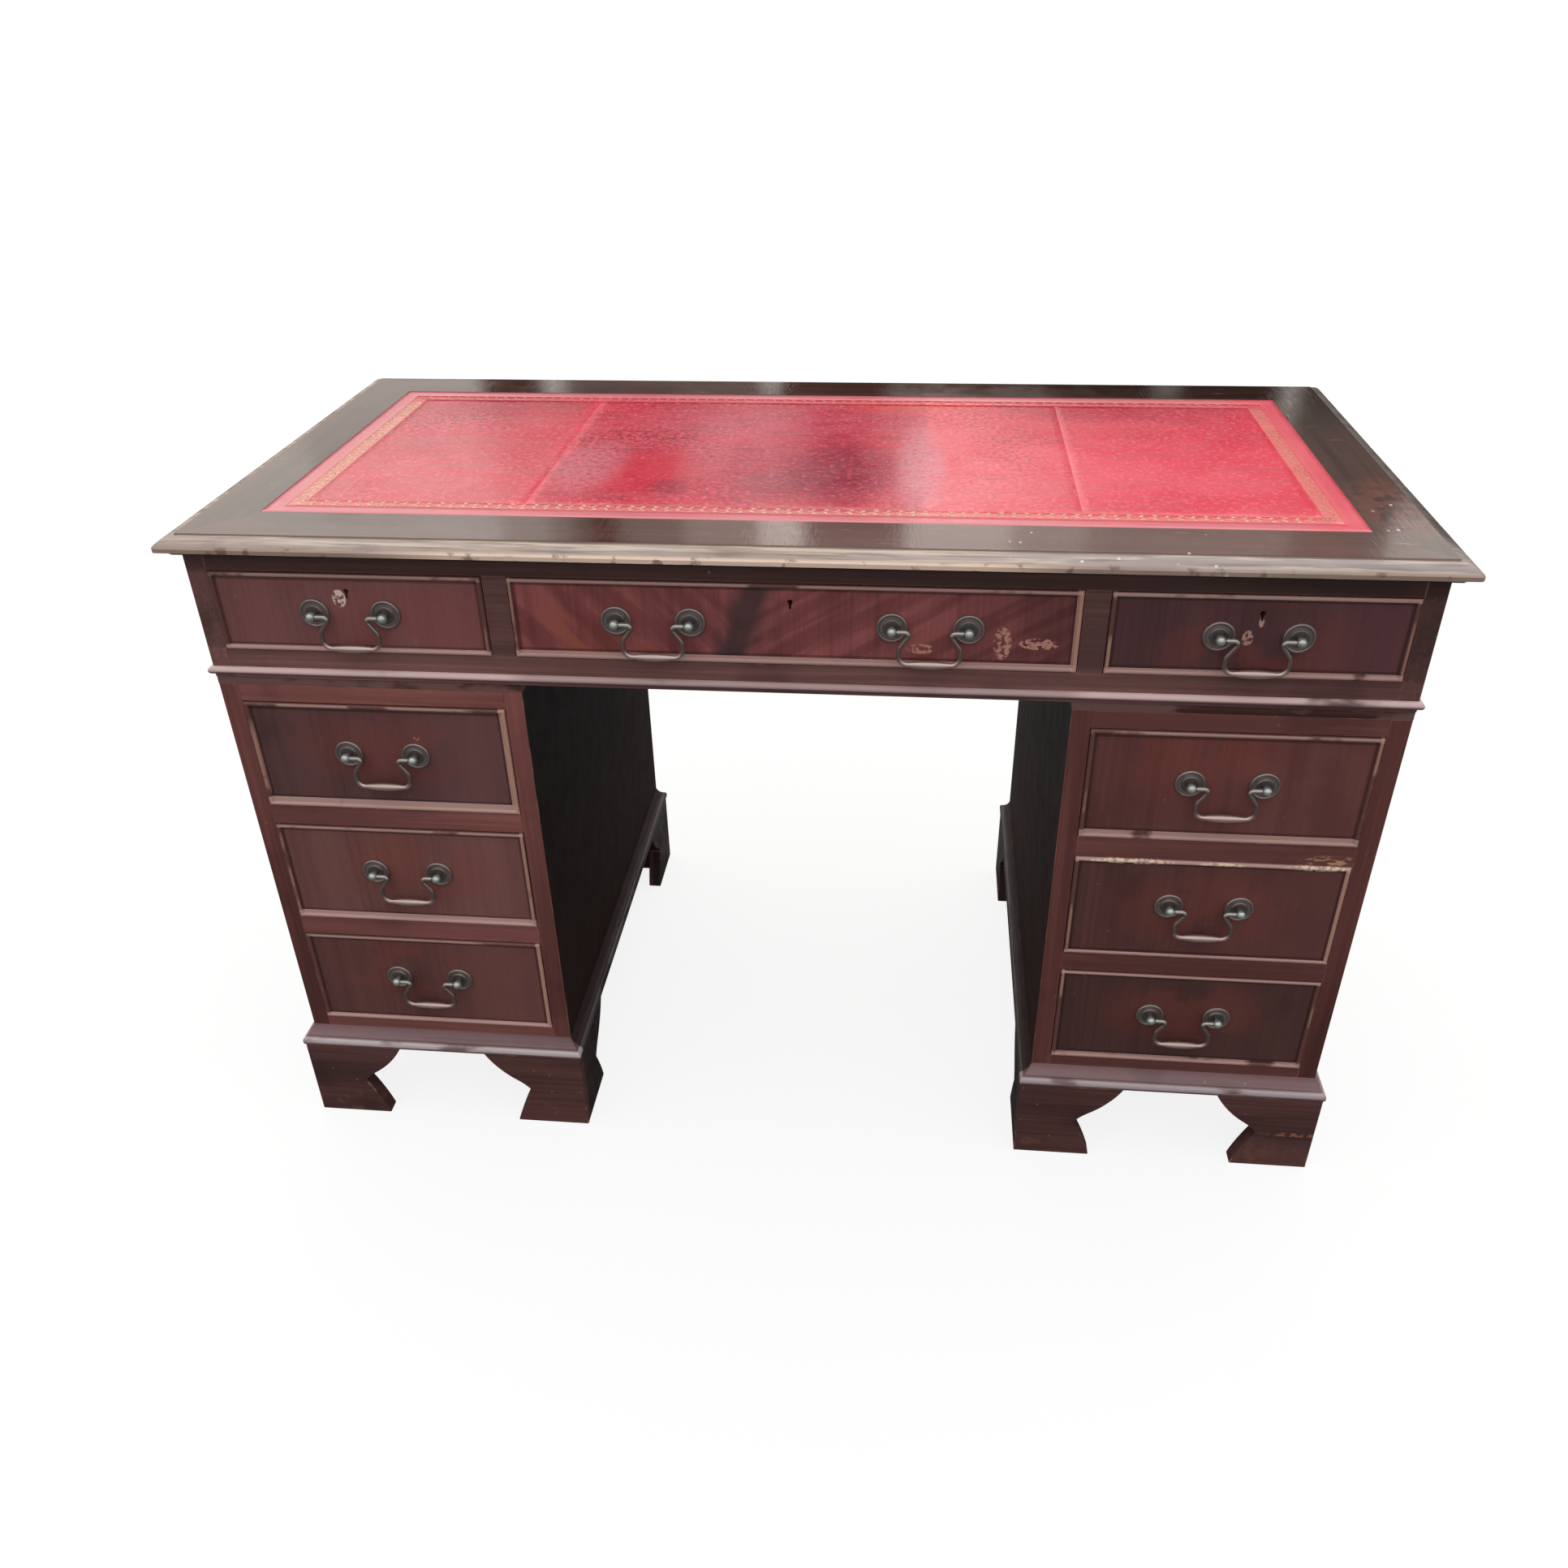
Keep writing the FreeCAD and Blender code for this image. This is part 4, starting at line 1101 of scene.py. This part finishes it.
def knocked(point, inset):
    """A point of the lipping where a knock has taken a little off its nose."""
    if inset > knock_reach:
        return point
    depth = noise.noise(point * knock_scale) + splinter_share * noise.noise(point * splinter_scale)
    depth = knock_depth * max(0.0, depth - knock_level) * (1 - inset / knock_reach)
    middle = Vector((0.0, 0.0, point.z))
    return point + (middle - point).normalized() * depth


# The pale grey-beige is partly bleached wood and partly painted sheen on the upper curve
lip_dark = paint(150, 132, 123)
lip_light = paint(180, 163, 154)
lip_sky_reflection = paint(146, 139, 142)
lip_cloud = paint(108, 84, 74)
pale_streak = paint(212, 196, 180)
dark_streak = paint(112, 90, 76)
lip_end_shade = paint(56, 42, 38)
bare_nose = paint(154, 128, 114)
bright_nose = paint(224, 196, 178)
bruised_nose = paint(100, 72, 60)
lip_underside_shadow = paint(56, 38, 34)
lip_speck = paint(220, 206, 196)
wood = polished("lipping_mahogany", "x", lip_dark, lip_light, roughness=0.38, shine=0.5)
# Painted sky reflection, greying the lipping towards the right
wood.lay(lip_sky_reflection, wood.rise("x", 0.0, 0.45, 0.6))
wood.lay(lip_cloud, wood.rubbed(16.0, 0.56, (0.35, 1.0, 1.0)), 0.45)
wood.lay(pale_streak, wood.rubbed(150.0, 0.50, (0.05, 1.0, 1.0)), 0.5)
wood.lay(dark_streak, wood.rubbed(190.0, 0.54, (0.06, 1.0, 1.0)), 0.5)
# Painted shade along the right end of the lipping
shaded_lip_end = wood.all_of(wood.rise("x", 0.586, 0.593), wood.rise("y", -0.29, -0.20))
wood.lay(lip_end_shade, shaded_lip_end, 0.85)
low_lip = wood.fall("z", top_z - bare_low, top_z - bare_high)
on_lip_nose = wood.all_of(low_lip, wood.rest_of(shaded_lip_end))
wood.lay(bare_nose, on_lip_nose, 0.8)
mid_nose = wood.band("x", -0.30, 0.16, 0.12)
wood.lay(bright_nose, on_lip_nose, mid_nose, wood.rubbed(24.0, 0.34, (0.5, 1.0, 1.0)))
wood.lay(bruised_nose, on_lip_nose, wood.rubbed(60.0, 0.57), 0.7)
# Painted shadow on the underside of the nose
wood.lay(lip_underside_shadow, wood.fall("z", top_z - lip_nose_down - under_soft, top_z - lip_nose_down))
lip_front = wood.fall("y", -0.28, -0.27)
lip_right = wood.band("x", 0.24, 0.36, 0.06)
wood.lay(lip_speck, lip_right, lip_front, wood.chips(95.0, 0.30, 0.20))
lipping = bmesh.new()
add_moulding(lipping, lip_low, lip_high, lip_section, lipping_run, top_corner_radius, knocked)
made_piece("top_lipping", lipping, [wood.close()], ["top_edge_moulding"])

# Writing leather. One red skived hide, let into the top and glued down flat, antiqued with dark mottling,
# blind-tooled with fillets beside its border and with two lines that part it in three. Its middle is
# deepened with painted dark reflection, its left panel with painted shade, and pale and orange patches on
# it are painted reflections.

leather_low, leather_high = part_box("leather_inset")
fillet_insets = (0.0190, 0.0360)
fillet_half = 0.0006
fillet_flare = 1.6
fillet_depth = 0.00012
part_line_x = 0.274
part_line_half = 0.0005
fillet_soft = 0.001
gilt_inset = 0.002
edge_drop = 0.0004
edge_round = 0.0008
swell_height = 0.00006
swell_drop = 1.8
swell_scale = 22.0
leather_step = 0.008
pebble_scale = 620.0
crimson = paint(224, 54, 78)
faded = paint(234, 82, 100)
crimson_and_dark_reflection = paint(184, 44, 68)
crimson_painted_shade = paint(190, 38, 62)
deep_crimson = paint(112, 16, 40)
pale_grit = paint(238, 124, 140)
smear = paint(190, 92, 100)
stain = paint(140, 22, 50)
pale_margin = paint(206, 122, 131)
rubbed_line = paint(226, 84, 104)
gilt_haze = paint(222, 168, 146)

# Where damp, ink and elbows have darkened or reddened the hide, some deepened with painted dark reflection,
# and painted reflections: place, half sizes, strength and colour
leather_patches = [
    # Dark middle: partly stains, partly painted dark reflection
    (0.000, -0.060, 0.130, 0.180, 0.75, (162, 12, 56)),
    (0.035, -0.070, 0.075, 0.115, 0.55, (92, 4, 44)),
    (-0.030, -0.110, 0.060, 0.060, 0.40, (110, 10, 46)),
    (-0.060, 0.120, 0.200, 0.090, 0.34, (168, 78, 98)),
    # A red spot and its dark edge: partly stains, partly painted dark reflection
    (-0.165, -0.075, 0.066, 0.100, 1.0, (198, 8, 50)),
    (-0.140, -0.125, 0.030, 0.030, 0.60, (112, 16, 40)),
    # Painted reflection: a pale strip
    (-0.235, -0.060, 0.050, 0.110, 0.70, (200, 116, 130)),
    (0.340, 0.170, 0.200, 0.075, 0.55, (136, 28, 52)),
    (-0.390, 0.160, 0.130, 0.070, 0.46, (156, 52, 66)),
    (-0.420, 0.000, 0.110, 0.060, 0.30, (160, 80, 84)),
    # Painted reflection: an orange glow
    (0.110, 0.180, 0.120, 0.050, 0.50, (228, 72, 52)),
    # Painted reflections: two pale strips
    (0.118, -0.050, 0.034, 0.180, 0.70, (200, 134, 146)),
    (-0.115, 0.000, 0.040, 0.160, 0.35, (204, 118, 130)),
    (0.330, 0.080, 0.120, 0.030, 0.40, (196, 44, 66)),
    (-0.340, -0.150, 0.090, 0.035, 0.35, (176, 70, 82)),
]


def leather_lines(low, high, marks):
    """Grid lines across the leather, close together at each tooled mark and wide apart between."""
    places = {low, low + edge_round, high - edge_round, high}
    for mark in marks:
        for share in (-fillet_flare, -1.0, -0.5, 0.0, 0.5, 1.0, fillet_flare):
            places.add(mark + fillet_half * share)
    fine = sorted(places)
    lines = []
    for first, second in zip(fine, fine[1:]):
        count = max(1, math.ceil((second - first) / leather_step))
        lines += [first + (second - first) * step / count for step in range(count)]
    return lines + [high]


def pressed(distance):
    """How deep a tooled line lies at a distance from its middle."""
    share = abs(distance) / (fillet_half * fillet_flare)
    return fillet_depth * max(0.0, 1 - share * share)


def leather_height(x, y):
    """The height of the hide, with its tooled lines, its turned-down edge and a slight swell."""
    inset = min(x - leather_low.x, leather_high.x - x, y - leather_low.y, leather_high.y - y)
    depth = max(pressed(inset - mark) for mark in fillet_insets)
    if inset > fillet_insets[1]:
        depth = max(depth, pressed(abs(x) - part_line_x))
    depth = max(depth, edge_drop * max(0.0, 1 - inset / edge_round))
    swell = swell_height * (noise.noise(Vector((x, y, 0.0)) * swell_scale) - swell_drop)
    return leather_high.z - depth + swell


across_marks = [-part_line_x, part_line_x]
deep_marks = []
for mark in fillet_insets:
    across_marks += [leather_low.x + mark, leather_high.x - mark]
    deep_marks += [leather_low.y + mark, leather_high.y - mark]
columns = leather_lines(leather_low.x, leather_high.x, across_marks)
rows = leather_lines(leather_low.y, leather_high.y, deep_marks)
hide = bmesh.new()
points = [[hide.verts.new((x, y, leather_height(x, y))) for x in columns] for y in rows]
for lower, upper in zip(points, points[1:]):
    for step in range(len(columns) - 1):
        hide.faces.new((lower[step], lower[step + 1], upper[step + 1], upper[step]))

leather = Finish("red_writing_leather", roughness=0.155, shine=0.5)
from_middle = leather.reckon("ABSOLUTE", leather.x)
from_side = leather.apart(leather_high.x, from_middle)
from_front = leather.apart(leather.y, leather_low.y)
from_back = leather.apart(leather_high.y, leather.y)
inwards = leather.reckon("MINIMUM", from_side, leather.reckon("MINIMUM", from_front, from_back))
on_panel = leather.rise(inwards, fillet_insets[1] - fillet_soft, fillet_insets[1] + fillet_soft)
leather.begin(crimson, faded, leather.rise(leather.haze(9.0, 4.0), 0.35, 0.65))
# A duller band across the middle: partly the hide's own colour, partly painted dark reflection
leather.lay(crimson_and_dark_reflection, leather.band("x", -0.262, 0.115, 0.012), 0.55)
# Painted shade over the left panel, against the brighter light there
leather.lay(crimson_painted_shade, leather.fall("x", -0.30, -0.27, 0.55))
leather.lay(pale_grit, leather.rubbed(190.0, 0.53, (1.0, 0.7, 1.0)), on_panel, 0.40)
smear_share = leather.grade("x", -0.28, -0.24, 0.50, 0.22)
leather.lay(smear, leather.rubbed(30.0, 0.50, (0.35, 1.4, 1.0)), on_panel, smear_share)
stained = leather.band("x", -0.26, 0.10, 0.03)
leather.lay(stain, leather.rubbed(44.0, 0.52, (0.4, 1.5, 1.0)), stained, on_panel, 0.30)
speckle = leather.rubbed(170.0, 0.47)
smoky = leather.grade(leather.haze(6.0, 3.0), 0.38, 0.62, 0.22, 0.62)
front_half = leather.fall("y", 0.00, 0.10)
calm_right = leather.rise("x", 0.22, 0.30, 0.75)
calm_left = leather.fall("x", -0.30, -0.26, 0.5)
calm = leather.all_of(leather.reckon("ADD", calm_right, calm_left), front_half)
leather.lay(deep_crimson, speckle, smoky, on_panel, leather.rest_of(calm))
blotchy = leather.rise(leather.haze(150.0, 4.0), 0.26, 0.60)
for x, y, half_x, half_y, share, shade in leather_patches:
    leather.lay(paint(*shade), leather.top_spot(x, y, half_x, half_y), blotchy, share)
margin = leather.fall(inwards, fillet_insets[0] - fillet_soft, fillet_insets[0])
leather.lay(pale_margin, margin, leather.grade("x", 0.46, 0.51, 0.75, 0.30))
off_line = leather.reckon("ABSOLUTE", leather.apart(from_middle, part_line_x))
leather.lay(rubbed_line, leather.fall(off_line, part_line_half, 2 * part_line_half, 0.7), on_panel)
left_gilt = leather.grade("x", -0.51, -0.49, 0.5, 0.2)
gilt_share = leather.reckon("ADD", left_gilt, leather.rise("x", 0.49, 0.51, 0.15))
gilt_ends = (fillet_insets[0] + gilt_inset, fillet_insets[1] - gilt_inset)
in_band = leather.band(inwards, *gilt_ends, gilt_inset)
leather.lay(gilt_haze, in_band, gilt_share, leather.grade("y", 0.17, 0.19, 1.0, 0.4))
pebbles = leather.put("TexVoronoi", {"Vector": leather.place, "Scale": pebble_scale})
leather.height = pebbles["Distance"]
leather_skins = [leather.close(roughness_swing=0.05, bump=0.25, depth=0.0003)]
writing_leather = made_piece("writing_leather", hide, leather_skins, ["leather_inset"])

# Gilt border. A running leaf scroll between two plain lines, rolled on in gold leaf with a heated wheel
# just inside the edge of the leather. Elbows have worn it thin.

band_middle = (fillet_insets[0] + fillet_insets[1]) / 2
scroll_pitch = 0.024
scroll_swing = 0.0030
scroll_steps = 12
stem_half = 0.0006
leaf_length = 0.0072
leaf_half = 0.0016
leaf_tip_half = 0.00006
leaf_fullness = 0.8
leaf_steps = 6
line_spread = 0.86
line_offset = (fillet_insets[1] - fillet_insets[0]) / 2 * line_spread
line_half = 0.0003
# The leaves of one turn of the scroll: how far along it, on which side of its middle, and the angle
scroll_leaves = [(0.02, 0, -52), (0.52, 0, 52), (0.30, 1, 150), (0.80, -1, -150)]


def add_strip(shape, left, right):
    """A flat strip of leaf between two rows of points."""
    lefts = [shape.verts.new(point) for point in left]
    rights = [shape.verts.new(point) for point in right]
    for step in range(len(left) - 1):
        shape.faces.new((lefts[step], rights[step], rights[step + 1], lefts[step + 1]))


def add_leaf(shape, to_world, along, across, turn):
    """One pointed leaf from a place on the scroll, turned by an angle."""
    lefts = []
    rights = []
    cos = math.cos(turn)
    sin = math.sin(turn)
    for step in range(leaf_steps + 1):
        share = step / leaf_steps
        half = max(leaf_tip_half, leaf_half * math.sin(math.pi * share) ** leaf_fullness)
        reach = leaf_length * share
        lefts.append(to_world(along + reach * cos - half * sin, across + reach * sin + half * cos))
        rights.append(to_world(along + reach * cos + half * sin, across + reach * sin - half * cos))
    add_strip(shape, lefts, rights)


def add_gilt_run(shape, start, end):
    """The scroll and its two lines from one corner to the next."""
    length = (end - start).length
    ahead = (end - start).normalized()
    aside = Vector((-ahead.y, ahead.x, 0.0))
    count = round(length / scroll_pitch)
    pitch = length / count
    steps = count * scroll_steps

    def to_world(along, across):
        point = start + ahead * along + aside * across
        point.z = leather_high.z
        return point

    left = []
    right = []
    for step in range(steps + 1):
        along = length * step / steps
        angle = 2 * math.pi * along / pitch
        across = scroll_swing * math.sin(angle)
        slope = scroll_swing * 2 * math.pi / pitch * math.cos(angle)
        tilt = math.sqrt(1 + slope * slope)
        left.append(to_world(along - stem_half * slope / tilt, across + stem_half / tilt))
        right.append(to_world(along + stem_half * slope / tilt, across - stem_half / tilt))
    add_strip(shape, left, right)
    for number in range(count):
        for share, side, turn in scroll_leaves:
            place = (number + share) * pitch
            add_leaf(shape, to_world, place, side * scroll_swing, math.radians(turn))
    places = [length * step / count for step in range(count + 1)]
    for side in (-1, 1):
        upper = [to_world(place, side * line_offset + line_half) for place in places]
        lower = [to_world(place, side * line_offset - line_half) for place in places]
        add_strip(shape, upper, lower)


gilt = bmesh.new()
gilt_low = leather_low + Vector((band_middle, band_middle, 0.0))
gilt_high = leather_high - Vector((band_middle, band_middle, 0.0))
gilt_corners = []
for y, ends in ((gilt_low.y, (gilt_low.x, gilt_high.x)), (gilt_high.y, (gilt_high.x, gilt_low.x))):
    gilt_corners += [Vector((x, y, 0.0)) for x in ends]
for number, corner in enumerate(gilt_corners):
    add_gilt_run(gilt, corner, gilt_corners[(number + 1) % len(gilt_corners)])
front_gold = paint(226, 184, 162)
right_gold = paint(212, 134, 116)
left_gold = paint(218, 194, 158)
rubbed_gold = paint(216, 112, 112)
back_gold = paint(206, 92, 102)
gold = Finish("rubbed_gold_leaf", roughness=0.38, shine=0.5, metallic=0.15)
gold.begin(front_gold, right_gold, gold.rise("x", 0.47, 0.50))
gold.lay(left_gold, gold.fall("x", -0.50, -0.47))
gold.lay(rubbed_gold, gold.rubbed(300.0, 0.48), 0.8)
gold.lay(back_gold, gold.rise("y", 0.16, 0.18, 0.9))
made_piece("gilt_border", gilt, [gold.close(roughness_swing=0.10)], [])

# Setting. A plain pale floor under a soft studio surround, brightest overhead and behind the desk, and the
# camera where the photograph was taken from. The floor throws little light back, so the kneehole is dark.

white = (1.0, 1.0, 1.0, 1.0)
floor_half = 150.0
floor_bounce = 0.15
floor_glow = 0.85
floor_roughness = 0.9
bpy.ops.mesh.primitive_plane_add(size=2 * floor_half)
floor = bpy.context.object
floor.name = "floor"
floor_material = bpy.data.materials.new("pale_floor")
floor_material.use_nodes = True
floor_nodes = Nodes(floor_material.node_tree)
floor_shader = floor_nodes.tree.nodes["Principled BSDF"].inputs
floor_shader["Base Color"].default_value = (floor_bounce, floor_bounce, floor_bounce, 1.0)
floor_shader["Roughness"].default_value = floor_roughness
floor_shader["Specular IOR Level"].default_value = 0.0
floor_shader["Emission Color"].default_value = white
floor_seen = floor_nodes.put("LightPath")["Is Camera Ray"]
floor_nodes.join(floor_nodes.all_of(floor_seen, floor_glow), floor_shader["Emission Strength"])
floor.data.materials.append(floor_material)

front_low_glow = 0.75
front_high_glow = 1.0
overhead_glow = 0.40
back_glow = 1.40
background_glow = 0.96
back_warmth = (1.0, 0.95, 0.88, 1.0)
panel_softness = math.radians(0.8)
panel_edge = 0.03
roof = 0.47
behind_span = (0.0, 0.5)
front_span = (0.1, 0.7)
zenith_span = (0.45, 0.9)
# Soft panels behind the desk: the angles each spans, seen from the desk, its foot, its top and brightness
back_panels = [
    (-60.0, -18.7, 0.20, 0.47, 1.05),
    (-60.0, -18.7, 0.32, 0.47, 0.55),
    (-60.0, -26.0, 0.27, 0.32, 0.40),
    (-18.7, -16.6, 0.27, 0.47, 1.00),
    (-16.6, -14.6, 0.27, 0.32, 0.80),
    (-16.6, -15.6, 0.32, 0.47, 0.60),
    (-16.2, -15.3, 0.20, 0.262, 1.20),
    (-15.6, -14.8, 0.325, 0.47, 0.25),
    (-15.3, -6.9, 0.20, 0.262, 0.20),
    (-13.6, -10.6, 0.325, 0.47, 0.45),
    (-10.6, -7.2, 0.325, 0.47, 0.85),
    (-10.4, -6.3, 0.27, 0.325, 0.65),
    (-7.2, -5.2, 0.325, 0.47, 2.25),
    (-6.9, -6.1, 0.20, 0.262, 1.25),
    (-5.2, -0.6, 0.345, 0.47, 0.55),
    (-1.3, 1.0, 0.27, 0.325, 2.00),
    (1.0, 5.2, 0.27, 0.325, 1.15),
    (-0.6, 4.2, 0.325, 0.47, 1.85),
    (5.2, 9.0, 0.275, 0.325, 0.45),
    (4.2, 7.5, 0.325, 0.47, 1.15),
    (7.5, 16.0, 0.325, 0.47, 0.75),
    (16.0, 19.8, 0.325, 0.47, 0.40),
    (9.6, 10.6, 0.20, 0.262, 0.40),
    (14.6, 15.3, 0.20, 0.275, 0.90),
    (15.3, 19.8, 0.255, 0.325, 0.18),
    (19.8, 60.0, 0.31, 0.47, 1.50),
]

world = bpy.data.worlds.new("studio_surround")
world.use_nodes = True
scene.world = world
sky = Nodes(world.node_tree)


def strip(value, low, high, soft):
    """A mask between two values, with soft edges that add up to one where strips meet."""
    half = soft / 2
    rise = sky.grade(value, low - half, low + half)
    return sky.all_of(rise, sky.grade(value, high - half, high + half, 1.0, 0.0))


aside, ahead, up = sky.put("SeparateXYZ", {0: sky.put("TexCoord")["Generated"]})
bearing = sky.reckon("ARCTAN2", aside, ahead)
rear = sky.grade(up, roof - panel_edge / 2, roof + panel_edge / 2, 0.0, back_glow)
for start, stop, foot, top, strength in back_panels:
    across = strip(bearing, math.radians(start), math.radians(stop), panel_softness)
    rear = sky.reckon("ADD", rear, sky.all_of(across, strip(up, foot, top, panel_edge), strength))
behind = sky.grade(ahead, *behind_span)
front = sky.grade(up, *front_span, front_low_glow, front_high_glow)
around = sky.put("Mix", {0: behind, 2: front, 3: rear})[0]
glow = sky.reckon("ADD", around, sky.grade(up, *zenith_span, 0.0, overhead_glow))
seen = sky.put("LightPath")["Is Camera Ray"]
shown = sky.put("Mix", {0: seen, 2: glow, 3: background_glow})[0]
warmth = sky.mixed(behind, white, back_warmth)
background = sky.tree.nodes["Background"].inputs
sky.join(sky.mixed(seen, warmth, white), background["Color"])
sky.join(shown, background["Strength"])

camera_place = (0.1164867, -1.4175504, 1.1986468)
camera_yaw = -0.1072
camera_pitch = -0.571
camera_roll = -0.0195
focal_pixels = 1616.4322
principal_x = 970.8894
principal_y = 998.602
frame_pixels = 1932
sensor_width = 36.0
view_reach = 500.0
camera_data = bpy.data.cameras.new("photo_camera")
camera_data.sensor_width = sensor_width
camera_data.lens = focal_pixels / frame_pixels * sensor_width
camera_data.shift_x = (frame_pixels / 2 - principal_x) / frame_pixels
camera_data.shift_y = (principal_y - frame_pixels / 2) / frame_pixels
camera_data.clip_end = view_reach
camera = bpy.data.objects.new("photo_camera", camera_data)
heading = Matrix.Rotation(-camera_yaw, 4, "Z") @ Matrix.Rotation(math.pi / 2 + camera_pitch, 4, "X")
camera.matrix_world = Matrix.Translation(camera_place) @ heading @ Matrix.Rotation(camera_roll, 4, "Z")
scene.collection.objects.link(camera)
scene.camera = camera
scene.view_settings.view_transform = "Standard"
